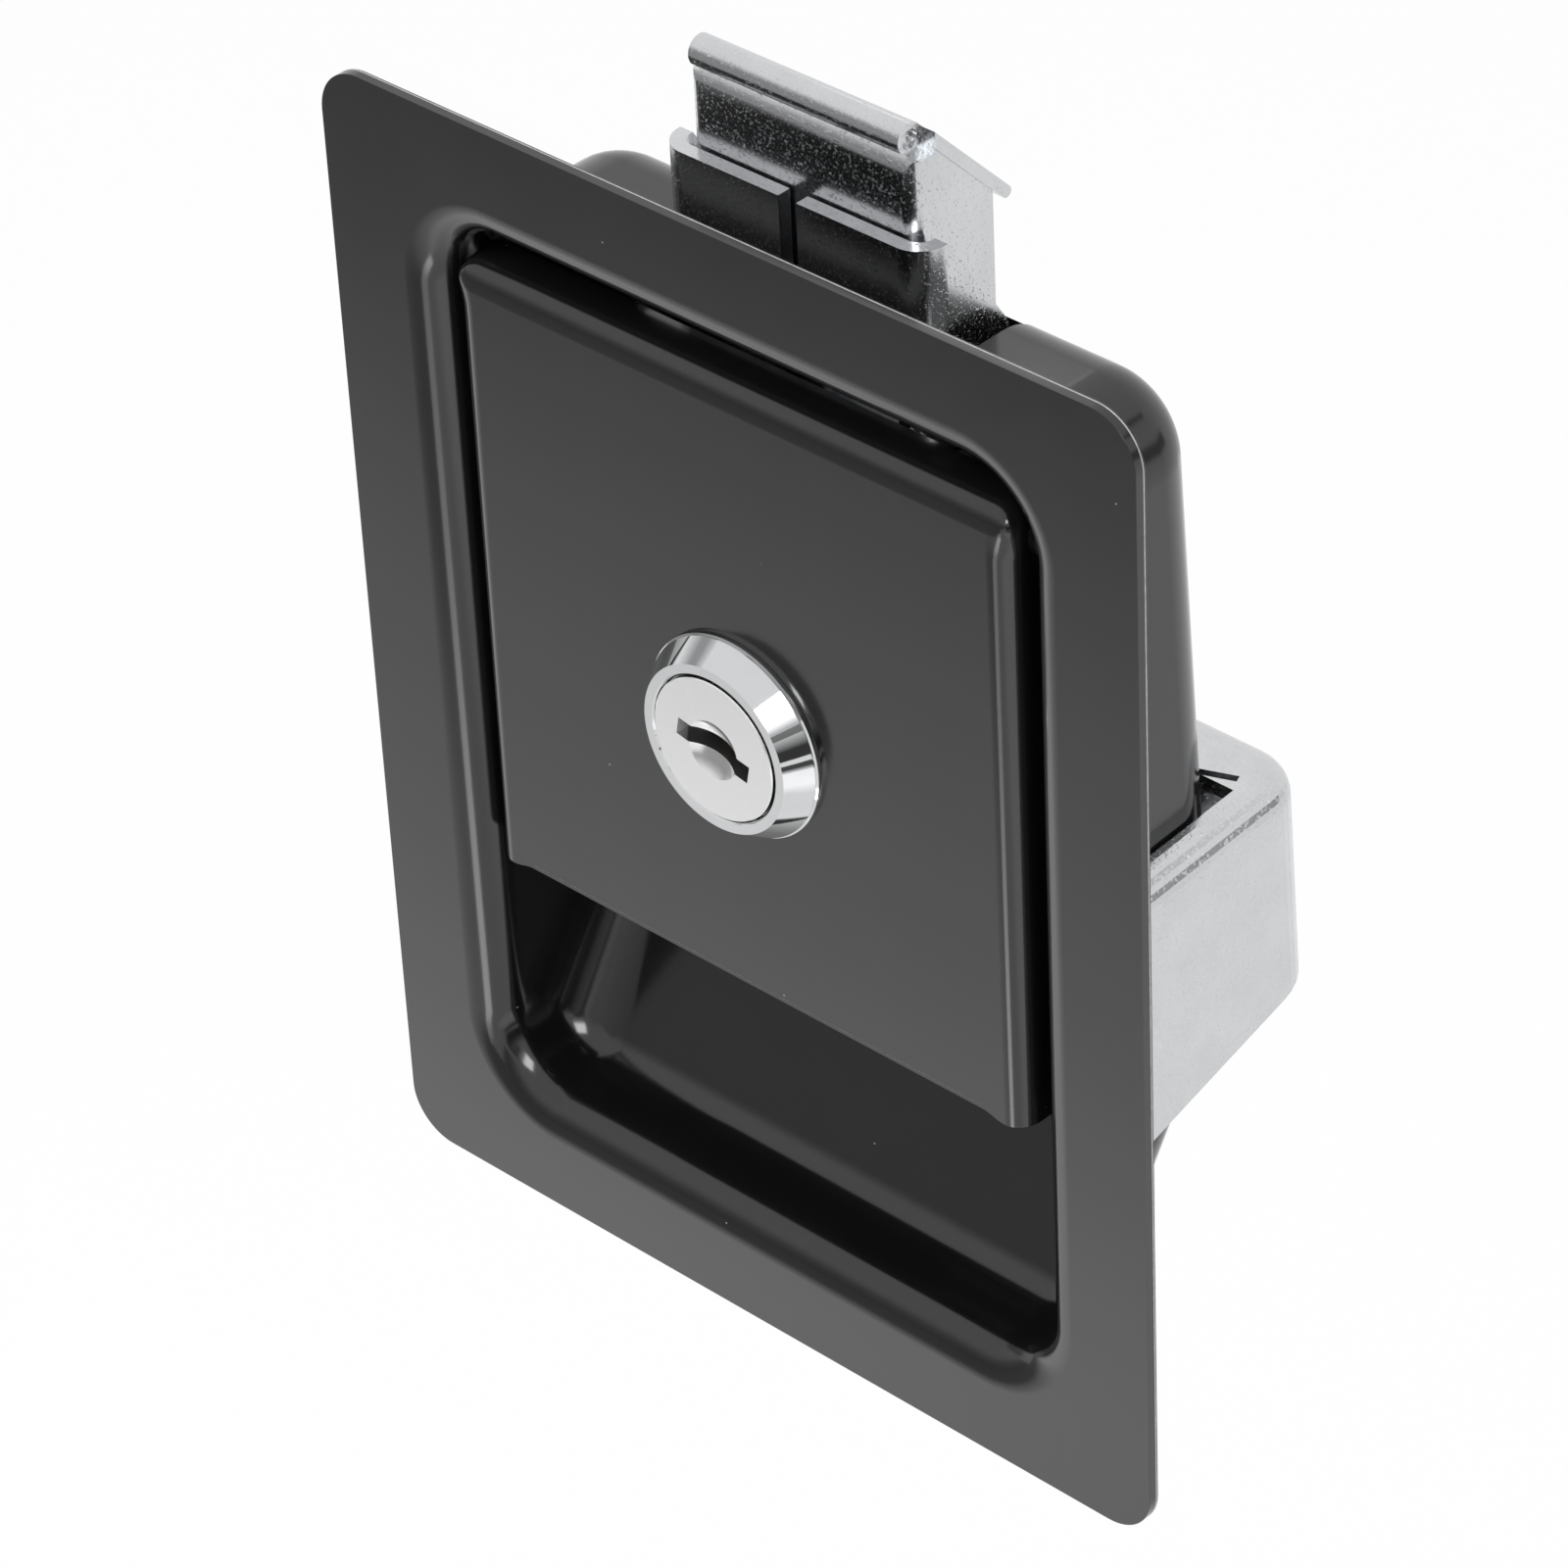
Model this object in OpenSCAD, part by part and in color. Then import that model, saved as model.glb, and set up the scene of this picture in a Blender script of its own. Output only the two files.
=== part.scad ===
// Flush-mounted handle lock for a cabinet or toolbox door.
// X runs across the door, Y into it and Z up it.
// The origin is the middle of the back face of the flange, which lies on the door skin.

/* [Flange and pan] */
// Width of the flange
flange_w = 95.25; // [90:0.25:110]
// Height of the flange
flange_h = 120.65; // [116:0.25:140]
// Corner radius of the flange
flange_r = 5; // [3:0.5:8]
// Thickness of the pressed sheet of pan and handle
sheet = 1.2; // [1:0.1:1.5]
// Clear width between the side walls of the pan
opening_w = 69.2; // [68.4:0.2:74]
// Clear height between the top and bottom walls of the pan
opening_h = 96.4; // [96:0.2:104]
// Corner radius of the pan walls, seen from the front
opening_r = 7; // [6:0.5:9]
// Radius of the rolled edge between flange and pan wall
lip_r = 4; // [3:0.25:4.25]
// Radius of the bend between pan walls and pan back
back_r = 4.8; // [4:0.2:5.5]
// Depth of the pan behind the flange, level with the origin
pan_depth = 23.5; // [23:0.1:28]
// Lean of the pan back away from upright
back_lean = 3.4; // [2:0.2:4.4]
// Angle of the finger scoop below the handle, from upright
scoop_lean = 31.8; // [29:0.2:36]
// Depth of the bend at the foot of the scoop
scoop_foot = 4.95; // [4.6:0.05:5.6]

/* [Handle] */
// Gap between the handle and the side walls of the pan
side_gap = 1.6; // [1.4:0.1:2.4]
// Gap between the top edge of the handle and the top wall of the pan
top_gap = 2.9; // [2.4:0.1:3.4]
// Clear height of the finger mouth below the handle
mouth_h = 28.2; // [24:0.2:30]
// How far the face of the handle stands in front of the door skin
paddle_proud = 0.8; // [0.4:0.1:1]
// Outer radius of the bends round the handle
paddle_r = 2; // [1.6:0.1:2.6]
// Depth of the side flanges of the handle
paddle_depth = 9.5; // [8:0.25:10.5]
// Depth of the lip along the top of the handle
paddle_lip = 5; // [4:0.25:5.4]
// Radius of the upper corners of the handle, seen from the front
paddle_corner = 4; // [3.6:0.1:5]
// How far the lower corners hang below the bottom edge
corner_drop = 0.5; // [0.3:0.1:2]
// Depth of the hinge axis behind the door skin
hinge_y = 5.2; // [5:0.1:5.5]
// Distance of the hinge axis below the top edge of the handle
hinge_drop = 4.3; // [4.1:0.1:4.6]
// Radius of the hinge pin
hinge_pin_r = 1.75; // [1.5:0.05:1.8]

/* [Bolt and guide] */
// Gauge of the plated sheet of bolt and guide
plate = 1.5; // [1.2:0.1:1.6]
// Width of the guide across its sides
guide_w = 31.3; // [30.8:0.1:31.6]
// Depth of the front of the guide behind the door skin
guide_front = 8.7; // [8.6:0.05:9]
// Height of the guide above the top wall of the pan
guide_rise = 11; // [9:0.2:12]
// Gap between the lower end of the guide and the lock barrel
guide_clear = 0.9; // [0.5:0.1:1.5]
// Outer radius of the front bends of the guide
guide_r = 3; // [2.5:0.1:3.5]
// Width of the seam between the two front leaves of the guide
seam_w = 2.1; // [1:0.1:3]
// Width of the bolt
bolt_w = 26.2; // [25:0.1:26.8]
// Depth of the bolt head from its face to its back edge
bolt_depth = 10; // [9.6:0.1:10.2]
// Height of the bolt above the top edge of the flange
bolt_rise = 9.625; // [8:0.125:11]
// Radius of the rolled edge
roll_r = 1.5; // [1.3:0.05:1.7]
// How much shorter the rolled edge is than the bolt is wide, at each end
roll_short = 0.95; // [0.6:0.05:1.4]
// Slope of the ramp behind the rolled edge
ramp_angle = 45.9; // [40:0.1:50]
// Travel of the bolt
stroke = 6.6; // [5.6:0.1:7]
// Radius of the two stub pins on the bolt
stub_r = 2; // [1.6:0.1:2.1]
// Diameter of the spring wire
wire_d = 0.9; // [0.6:0.1:1.1]

/* [Lock] */
// Height of the lock axis above the origin
lock_z = 8.3; // [7.6:0.1:8.4]
// Radius of the key plug
plug_r = 7.35; // [7:0.05:7.45]
// Radius of the threaded lock barrel
barrel_r = 8.8; // [8.6:0.1:9]
// Radius of the foot of the polished bezel
bezel_r = 10.2; // [9.8:0.1:11]
// Radius of the flat front of the bezel
bezel_front_r = 8.5; // [8.3:0.1:8.8]
// Height of the bezel in front of the handle
bezel_h = 3.2; // [2.4:0.1:4]
// Length of the barrel behind the face of the handle
barrel_len = 16.3; // [15:0.1:16.6]
// Length of the cam from the lock axis to its tip
cam_len = 14.5; // [13.6:0.1:15.5]
// Length of the keyway
keyway_l = 8.7; // [8:0.1:10]
// Width of the keyway
keyway_w = 1.9; // [1.5:0.1:2.2]
// Tilt of the keyway, right end down
keyway_tilt = 11; // [0:1:20]

/* [Clamp] */
// Play between the pan's side walls and the legs of the clamp
clamp_play = 1.8; // [1.5:0.1:3.5]
// Thickness of the clamp sheet
clamp_t = 1.6; // [1.2:0.1:1.8]
// Height of the clamp's top plate above the origin, at its back edge
clamp_top = 4.4; // [2:0.2:8]
// Distance between the pan back and the clamp
clamp_gap = 6.3; // [5:0.1:9]
// Depth of the leg behind the door skin at its front end
leg_front = 3.2; // [2.6:0.1:6]
// Length of the clamp's back, down to where its lower edge starts
clamp_drop = 22.9; // [21:0.1:26]
// Slope of the lower edge of the legs
leg_slope = 12; // [8:0.5:15]
// Outer radius of the upright corners of the clamp
clamp_r = 5.5; // [5:0.1:6.5]
// Radius of the clamp's top bend
clamp_bend = 3; // [2:0.1:3.4]
// Distance between the two clamp studs
stud_span = 44; // [36:1:48]
// Height of the studs, below the origin
stud_drop = 8; // [7:0.5:10]
// Radius of the studs
stud_r = 2.5; // [2:0.5:3]

/* [Hidden] */
$fn = 48;

// Clearance between parts that are pressed or screwed flat together
seat = 0.06;
// Radial clearance of parts that turn in each other
turn = 0.06;
// Play of parts that slide past each other
slide = 0.3;
// Step that keeps the pressed shell just inside the rolled edge
blend = 0.02;
// Longer than any cut
far = 200;
// Overhang of a cutter past the face that it cuts
past = 1;

half_w = opening_w / 2;
half_h = opening_h / 2;
lip_depth = lip_r - sheet;

// Handle in the pan, and the hinge in the handle
paddle_w = opening_w - 2 * side_gap;
paddle_in = paddle_w / 2 - sheet;
paddle_top = half_h - top_gap;
paddle_foot = half_h - mouth_h;
face_y = -paddle_proud;
inside_y = face_y + sheet;
hinge_z = paddle_top - hinge_drop;

// Depth of the inner face of the leaning pan back at height z
function back_at(z) = pan_depth - z * tan(back_lean);
// Scoop line: cos(scoop_lean) y - sin(scoop_lean) z = scoop_c for points on its inner face
scoop_z = -(half_h - back_r);
scoop_c = cos(scoop_lean) * scoop_foot - sin(scoop_lean) * scoop_z + back_r;
// Centre of the bend where the pan back meets the scoop, on both lines moved in by back_r
knee_a = pan_depth - back_r / cos(back_lean);
knee_z = (cos(scoop_lean) * knee_a - scoop_c + back_r)
         / (cos(scoop_lean) * tan(back_lean) + sin(scoop_lean));
knee_y = knee_a - knee_z * tan(back_lean);
// Centre depth of the top bend, whose ring touches the leaning back
ring_r = opening_r - back_r;
ring_z = half_h - opening_r;
ring_y = (pan_depth * cos(back_lean) - back_r - (ring_r + ring_z) * sin(back_lean))
         / cos(back_lean);

// Guide: inner half width, ends, and the top of its back plate
guide_in = guide_w / 2 - plate;
guide_top = half_h + guide_rise;
guide_foot = lock_z + barrel_r + guide_clear;
web_top = hinge_z - 2;
// Bolt face, back edge of the bolt head and of its shank, in depth
bolt_in = bolt_w / 2 - plate;
bolt_y = guide_front + plate + slide;
bolt_back = bolt_y + bolt_depth;
shank_back = bolt_back - 1.5;
// Height at which the deeper head starts, clear of the guide's back when the bolt is in
head_z = web_top + stroke + 1.5;
shank_foot = guide_foot + plate + stroke + 0.5;
roll_y = bolt_y + 0.85;
roll_z = flange_h / 2 + bolt_rise - roll_r;
// Top of the front and sides, inside the ring of the rolled edge
neck_z = roll_z - roll_r + 0.4;
// Stub pins, spring and spring seat
stub_y = bolt_y + 5;
stub_z = hinge_z - 3;
seat_z = hinge_z + 6;
spring_r = 2.75;
// Lever: underside of its arms just above the stub pins, web behind the face of the handle,
// its foot above the washer of the lock
arm_under = stub_z + stub_r + slide;
arm_t = 1.8;
arm_x = guide_w / 2 + 0.55;
lock_washer_r = barrel_r + 3;
lever_foot = lock_z + lock_washer_r + 5;
lever_top = paddle_top - paddle_r;
boss_r = hinge_drop - sheet - slide;
// Hinge bushes, clips on the hinge pin, rivets and key wafers
bush_r = hinge_pin_r + 0.9;
clip_x = half_w + sheet + seat;
rivet_r = 1.5;
wafer_t = 0.9;
wafer_w = 6;
wafer_count = 5;

// Lock, from front to back
bezel_y = face_y - bezel_h;
plug_y = bezel_y - 0.1;
barrel_end = face_y + barrel_len;
cam_y = barrel_end + 0.1;
cam_t = 1.5;
cam_w = 8;
square_w = 5;
// Keeper: its shelf below the tip of the locked cam, its lip in front of it
keeper_w = 16;
keeper_z = lock_z - cam_len - 5.8;
keeper_lip = 8.7;
keeper_rivet_z = 6.2;

// Clamp plate, as a distance from the inner face of the pan back, and width across its legs
clamp_out = sheet + clamp_gap + clamp_t;
clamp_w = opening_w + 2 * (sheet + clamp_play + clamp_t);
nut_h = 4;
washer_t = 1;
screw_r = 2;

module along_y(y0, y1, x = 0, z = 0) {
    translate([x, y0, z]) rotate([-90, 0, 0]) linear_extrude(y1 - y0) children();
}

module rod_y(r, y0, y1, x = 0, z = 0) {
    translate([x, y0, z]) rotate([-90, 0, 0]) cylinder(h = y1 - y0, r = r);
}

module rod_x(r, x0, x1, y, z) {
    translate([x0, y, z]) rotate([0, 90, 0]) cylinder(h = x1 - x0, r = r);
}

// Extrudes a profile drawn in X and Z through the depth from y0 to y1
module front_profile(y0, y1) {
    translate([0, y1, 0]) rotate([90, 0, 0]) linear_extrude(y1 - y0) children();
}

// Extrudes a profile drawn in Y and Z across the width from x0 to x1
module side_profile(x0, x1) {
    translate([x0, 0, 0]) rotate([90, 0, 90]) linear_extrude(x1 - x0) children();
}

module both_sides() {
    children();
    mirror([1, 0, 0]) children();
}

// Puts children on the inner face of the leaning pan back, their y axis pointing out through it
module on_back(x, z) {
    translate([x, back_at(z), z]) rotate([back_lean, 0, 0]) children();
}

module rounded(w, h, r) {
    square([w - 2 * r, h], center = true);
    square([w, h - 2 * r], center = true);
    for (sx = [-1, 1], sz = [-1, 1])
        translate([sx * (w / 2 - r), sz * (h / 2 - r)]) circle(r);
}

module hexagon(across) {
    circle(r = across / sqrt(3), $fn = 6);
}

// Solid of the pressed pan; grow moves every face outwards
module pan_form(grow, front) {
    hull() {
        for (sx = [-1, 1], sz = [-1, 1])
            rod_y(opening_r + grow, front, front + 0.2,
                  sx * (half_w - opening_r), sz * (half_h - opening_r), $fn = 32);
        for (sx = [-1, 1]) {
            pan_bend(grow, sx * (half_w - opening_r), ring_y, ring_z);
            pan_bend(grow, sx * (half_w - opening_r), scoop_foot, -ring_z);
            translate([sx * (half_w - back_r), knee_y, knee_z])
                rotate([back_lean, 0, 0]) sphere(back_r + grow, $fn = 32);
        }
    }
}

// Rounded corner of the pan back
module pan_bend(grow, x, y, z) {
    translate([x, y, z]) rotate([90, 0, 0])
        rotate_extrude($fn = 32) intersection() {
            translate([ring_r, 0]) circle(back_r + grow, $fn = 32);
            translate([0, -far / 2]) square(far);
        }
}

// Section of the rolled edge, a quarter of a sheet ring
module lip_section() {
    intersection() {
        difference() {
            circle(lip_r);
            circle(lip_r - sheet);
        }
        translate([-lip_r, -lip_r]) square(lip_r);
    }
}

module lip_edge(half, length) {
    translate([half + lip_r, lip_depth, 0])
        linear_extrude(length, center = true) lip_section();
}

module lip_corner() {
    translate([half_w - opening_r, 0, half_h - opening_r]) rotate([90, 0, 0])
        rotate_extrude(angle = 90)
            translate([opening_r + lip_r, -lip_depth]) mirror([0, 1]) lip_section();
}

module pan() {
    color("#3a3a3c") difference() {
        union() {
            front_profile(-sheet, 0) difference() {
                rounded(flange_w, flange_h, flange_r);
                rounded(opening_w + 2 * lip_r, opening_h + 2 * lip_r, opening_r + lip_r);
            }
            both_sides() {
                lip_edge(half_w, opening_h - 2 * opening_r);
                lip_corner();
                mirror([0, 0, 1]) lip_corner();
            }
            for (turn_up = [-90, 90])
                rotate([0, turn_up, 0]) lip_edge(half_h, opening_w - 2 * opening_r);
            difference() {
                pan_form(sheet - blend, lip_depth - 0.4);
                pan_form(blend, -2 * past);
            }
        }
        // Way for the bolt and its guide through the top wall
        translate([-guide_w / 2 - 2.1, guide_front - 2, ring_z])
            cube([guide_w + 4.2, bolt_back + 0.4 - guide_front + 2, far]);
        rod_x(hinge_pin_r + turn, -far / 2, far / 2, hinge_y, hinge_z);
        guide_rivet_places() rod_y(rivet_r + blend, -past, sheet + past);
        keeper_rivet_places() rod_y(rivet_r + blend, -past, sheet + past);
    }
}

module guide_rivet_places() {
    for (sx = [-1, 1], z = [guide_foot + 6, web_top - 5])
        on_back(sx * 7, z) children();
}

module keeper_rivet_places() {
    for (sx = [-1, 1])
        on_back(sx * keeper_w / 4, keeper_z + keeper_rivet_z) children();
}

// Rivet through the pan back and a plate of thickness grip inside it
module rivet(grip) {
    rod_y(rivet_r, -grip - seat, sheet);
    rod_y(rivet_r + 0.9, sheet, sheet + 0.8);
    rod_y(rivet_r + 0.7, -grip - seat - 0.7, -grip - seat);
}

module guide_rivets() {
    color("#b9bbbd") guide_rivet_places() rivet(plate);
}

module keeper_rivets() {
    color("#b9bbbd") keeper_rivet_places() rivet(plate);
}

// Outline of the guide's sides: front edge, slope behind the bolt head, back along the pan
module guide_side() {
    back_up = bolt_back - 1.1;
    polygon([[guide_front, guide_foot], [guide_front, guide_top],
             [guide_front + guide_r + 0.2, guide_top], [back_up, head_z + 0.8],
             [back_up, web_top], [back_at(web_top) - seat, web_top],
             [back_at(guide_foot) - seat, guide_foot]]);
}

module bolt_guide() {
    window_x = 7.75;
    window_l = 8.9;
    window_r = 1.2;
    color("#c8cacc") difference() {
        union() {
            intersection() {
                translate([0, 0, guide_foot]) linear_extrude(guide_top - guide_foot)
                    difference() {
                        guide_ring(guide_w, guide_front, guide_r);
                        guide_ring(guide_w - 2 * plate, guide_front + plate, guide_r - plate);
                    }
                side_profile(-far / 2, far / 2) guide_side();
            }
            // Back plate on the pan, and the shelf that carries the spring
            side_profile(-guide_in - blend, guide_in + blend) polygon([
                [back_at(web_top) - seat, web_top], [back_at(guide_foot) - seat, guide_foot],
                [back_at(guide_foot) - seat - plate, guide_foot],
                [back_at(web_top) - seat - plate, web_top]]);
            translate([-guide_in - blend, guide_front + plate - blend, guide_foot])
                cube([2 * (guide_in + blend),
                      back_at(guide_foot) - seat - plate / 2 - guide_front - plate, plate]);
        }
        // Seam between the two front leaves
        translate([-seam_w / 2, guide_front - past, guide_foot + plate + 4])
            cube([seam_w, plate + past + blend, far]);
        // Upright slots for the stub pins
        side_profile(-far / 2, far / 2) {
            translate([stub_y - stub_r - slide, stub_z - stroke])
                square([2 * (stub_r + slide), stroke]);
            translate([stub_y, stub_z]) circle(stub_r + slide);
            translate([stub_y, stub_z - stroke]) circle(stub_r + slide);
        }
        // Round-ended window in the right leaf
        front_profile(guide_front - past, guide_front + plate + blend)
            translate([window_x, hinge_z + 0.8]) {
                square([window_l - 2 * window_r, 2 * window_r], center = true);
                for (sx = [-1, 1]) translate([sx * (window_l / 2 - window_r), 0]) circle(window_r);
            }
        guide_rivet_places() rod_y(rivet_r + blend, -plate - past, past);
    }
}

// Plan of a channel with rounded front corners, open at the back
module guide_ring(w, front, r) {
    translate([-w / 2 + r, front]) square([w - 2 * r, far]);
    translate([-w / 2, front + r]) square([w, far]);
    for (sx = [-1, 1]) translate([sx * (w / 2 - r), front + r]) circle(r);
}

module hinge_pin() {
    color("#b0b2b4") rod_x(hinge_pin_r, -clip_x - 1.3, clip_x + 1.3, hinge_y, hinge_z);
}

module hinge_clips() {
    color("#8f9193") both_sides() difference() {
        rod_x(hinge_pin_r + 0.8, clip_x, clip_x + 1, hinge_y, hinge_z);
        rod_x(hinge_pin_r + blend, half_w, far, hinge_y, hinge_z);
    }
}

// Frame of the clamp: its origin is the upper back edge, y points forwards along minus
module clamp_place() {
    on_back(0, clamp_top) translate([0, clamp_out, 0]) children();
}

// Solid of the folded clamp; shrink moves every face inwards
module clamp_form(shrink, front) {
    hull() {
        for (sx = [-1, 1]) {
            translate([sx * (clamp_w / 2 - clamp_r), -clamp_r, -clamp_bend])
                rotate_extrude($fn = 32) intersection() {
                    translate([clamp_r - clamp_bend, 0]) circle(clamp_bend - shrink, $fn = 32);
                    translate([0, -far / 2]) square(far);
                }
            translate([sx * (clamp_w / 2 - clamp_r), -clamp_r, -clamp_drop - 12])
                cylinder(h = 1, r = clamp_r - shrink, $fn = 32);
            translate([sx * (clamp_w / 2 - clamp_bend), -front, -clamp_bend])
                rotate([-90, 0, 0]) cylinder(h = 1, r = clamp_bend - shrink, $fn = 32);
            translate([sx * (clamp_w / 2 - clamp_bend), -front, -clamp_drop - 12])
                cylinder(h = 1, r = clamp_bend - shrink, $fn = 32);
        }
    }
}

// Side outline of the clamp, back to front from its upper back edge
module clamp_side() {
    slope = tan(leg_slope);
    corner = 1.2;
    polygon([[past, past], [past, -clamp_drop + corner], [0, -clamp_drop + corner],
             [-corner, -clamp_drop - corner * slope], [-far, -clamp_drop - far * slope],
             [-far, past]]);
}

module clamp_bracket() {
    behind_pan = clamp_gap + clamp_t - slide;
    reach = pan_depth + clamp_out;
    slit = 0.8;
    color("#cfd1d3") difference() {
        clamp_place() difference() {
            intersection() {
                difference() {
                    clamp_form(0, reach);
                    clamp_form(clamp_t, reach + 2 * clamp_bend);
                }
                side_profile(-far / 2, far / 2) clamp_side();
            }
            // Way for the pan through the top plate, and the relief slits at its corners
            translate([-half_w - sheet - slide, -far, -clamp_t - past - 2])
                cube([opening_w + 2 * (sheet + slide), far - behind_pan, far]);
            both_sides()
                translate([half_w - 3.2, -behind_pan - slit / 2, -clamp_t - past])
                    rotate([0, 0, 20]) cube([4.4, slit, far]);
        }
        // Front ends of the legs, parallel to the door
        translate([-far / 2, leg_front - far, -far / 2]) cube(far);
        stud_places() rod_y(stud_r + 0.5, 0, far);
    }
}

module stud_places() {
    for (sx = [-1, 1]) on_back(sx * stud_span / 2, -stud_drop) children();
}

module clamp_studs() {
    color("#b4b6b8") stud_places() {
        rod_y(stud_r + 2, sheet, sheet + 1);
        rod_y(stud_r, sheet, clamp_out + seat + washer_t + nut_h + 2);
    }
}

module clamp_washers() {
    color("#c2c4c6") stud_places() difference() {
        rod_y(2 * stud_r, clamp_out + seat, clamp_out + seat + washer_t);
        rod_y(stud_r + 0.15, 0, far);
    }
}

module clamp_nuts() {
    nut_y = clamp_out + 2 * seat + washer_t;
    color("#bcbec0") stud_places() difference() {
        along_y(nut_y, nut_y + nut_h) hexagon(3.2 * stud_r);
        rod_y(stud_r + blend, 0, far);
    }
}

// Folded keeper: foot on the pan back, shelf forwards, lip up in front of the locked cam
module lock_keeper() {
    reach = (back_at(keeper_z) - cam_y + slide) / cos(back_lean) + 0.5;
    color("#c4c6c8") on_back(0, keeper_z) difference() {
        side_profile(-keeper_w / 2, keeper_w / 2) {
            translate([-plate - seat, 0]) square([plate, 9.5]);
            translate([-reach - plate, 0]) square([reach + plate - seat, plate]);
            translate([-reach - plate, 0]) square([plate, keeper_lip]);
        }
        for (sx = [-1, 1])
            rod_y(rivet_r + blend, -plate - past, past, sx * keeper_w / 4, keeper_rivet_z);
    }
}

// One round wire, swept along points by joining rings of eight corners
module coil(radius, wire, bottom, top, turns) {
    steps = 16;
    sides = 8;
    count = turns * steps;
    // The first and last turns lie almost closed, the rest share the length evenly
    closed = 1.08 * wire;
    pitch = (top - bottom - wire - 2 * closed) / (turns - 2);
    function height(t) = bottom + wire / 2 + closed * (min(t, 1) + max(0, t - turns + 1))
        + pitch * max(0, min(t - 1, turns - 2));
    points = [for (i = [0 : count], j = [0 : sides - 1])
        let (a = 360 * i / steps, b = 360 * (j + 0.5) / sides, r = radius + wire / 2 * cos(b))
        [r * cos(a), r * sin(a), height(i / steps) + wire / 2 * sin(b)]];
    faces = [for (i = [0 : count - 1], j = [0 : sides - 1])
        let (a = i * sides + j, b = i * sides + (j + 1) % sides)
        [a, b, b + sides, a + sides]];
    ends = [[for (j = [0 : sides - 1]) sides - 1 - j],
            [for (j = [0 : sides - 1]) count * sides + j]];
    polyhedron(points, concat([for (f = faces) [f[3], f[2], f[1], f[0]]],
                              [for (e = ends) [for (k = [sides - 1 : -1 : 0]) e[k]]]));
}

module bolt_spring() {
    color("#a9abad") translate([0, stub_y, 0])
        coil(spring_r, wire_d, guide_foot + plate + seat, seat_z - seat, 9);
}

// Side of the bolt: shank, deeper head, and the slope under the ramp
module bolt_side() {
    polygon([[bolt_y, shank_foot], [bolt_y, neck_z], [roll_y, neck_z], [roll_y + 1, roll_z],
             [bolt_back, roll_z - (bolt_back - roll_y - 1) * tan(ramp_angle)],
             [bolt_back, head_z], [shank_back, head_z - 1.5], [shank_back, shank_foot]]);
}

// Section of the rolled edge and the ramp behind it
module ramp_section() {
    ramp_len = (bolt_back + 0.9 - roll_y) / cos(ramp_angle);
    ramp_t = 0.7 * plate;
    difference() {
        circle(roll_r);
        circle(roll_r - plate / 2);
    }
    rotate(-ramp_angle) translate([0, roll_r - ramp_t]) square([ramp_len, ramp_t]);
    rotate(-ramp_angle) translate([ramp_len, roll_r - ramp_t / 2]) circle(ramp_t / 2);
}

module latch_bolt() {
    color("#d2d4d6") difference() {
        union() {
            intersection() {
                translate([0, 0, shank_foot]) linear_extrude(roll_z - shank_foot)
                    difference() {
                        guide_ring(bolt_w, bolt_y, 2);
                        guide_ring(bolt_w - 2 * plate, bolt_y + plate, 0.5);
                    }
                side_profile(-far / 2, far / 2) bolt_side();
            }
            side_profile(-bolt_w / 2, bolt_w / 2) translate([roll_y, roll_z]) ramp_section();
            // Cross plate that the spring pushes on
            translate([-bolt_in - blend, bolt_y + plate - blend, seat_z])
                cube([2 * (bolt_in + blend), shank_back - bolt_y - plate, plate]);
        }
        // Relief at both ends of the rolled edge
        both_sides() translate([bolt_w / 2 - roll_short, bolt_y - 2 * past, neck_z - 0.85])
            cube([past, roll_y + 1.9 - bolt_y + 2 * past, far]);
        rod_x(stub_r + blend, -far / 2, far / 2, stub_y, stub_z);
    }
}

module bolt_pins() {
    color("#b0b2b4") both_sides()
        rod_x(stub_r, bolt_in - 0.6, arm_x + arm_t + 0.3, stub_y, stub_z);
}

// Solid of the pressed handle; shrink moves every face inwards
module paddle_form(shrink, back, foot) {
    side = paddle_w / 2 - paddle_r;
    hull() for (sx = [-1, 1]) {
        translate([sx * side, face_y + paddle_r, paddle_top - paddle_r])
            sphere(paddle_r - shrink, $fn = 16);
        translate([sx * side, face_y + paddle_r, -foot])
            cylinder(h = 1, r = paddle_r - shrink, $fn = 16);
        translate([sx * side, back - 0.5, paddle_top - paddle_r])
            rotate([-90, 0, 0]) cylinder(h = 0.5, r = paddle_r - shrink, $fn = 16);
        translate([sx * side, back - 0.5, -foot])
            rotate([-90, 0, 0]) cylinder(h = 0.5, r = paddle_r - shrink, $fn = 16);
    }
}

// Front outline of the handle: round upper corners, lower corners that hang a little lower
module paddle_front() {
    side = paddle_w / 2;
    low = -paddle_foot - corner_drop;
    tab = side - 3.6;
    intersection() {
        polygon([[-side - past, paddle_top + past], [side + past, paddle_top + past],
                 [side + past, low], [tab, low], [tab - 1, -paddle_foot],
                 [-tab + 1, -paddle_foot], [-tab, low], [-side - past, low]]);
        union() {
            translate([-side - past, low - past])
                square([2 * (side + past), paddle_top - paddle_corner - low + past]);
            translate([-side + paddle_corner, low])
                square([2 * (side - paddle_corner), paddle_top - low + past]);
            for (sx = [-1, 1]) translate([sx * (side - paddle_corner), paddle_top - paddle_corner])
                circle(paddle_corner + blend);
        }
    }
}

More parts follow.
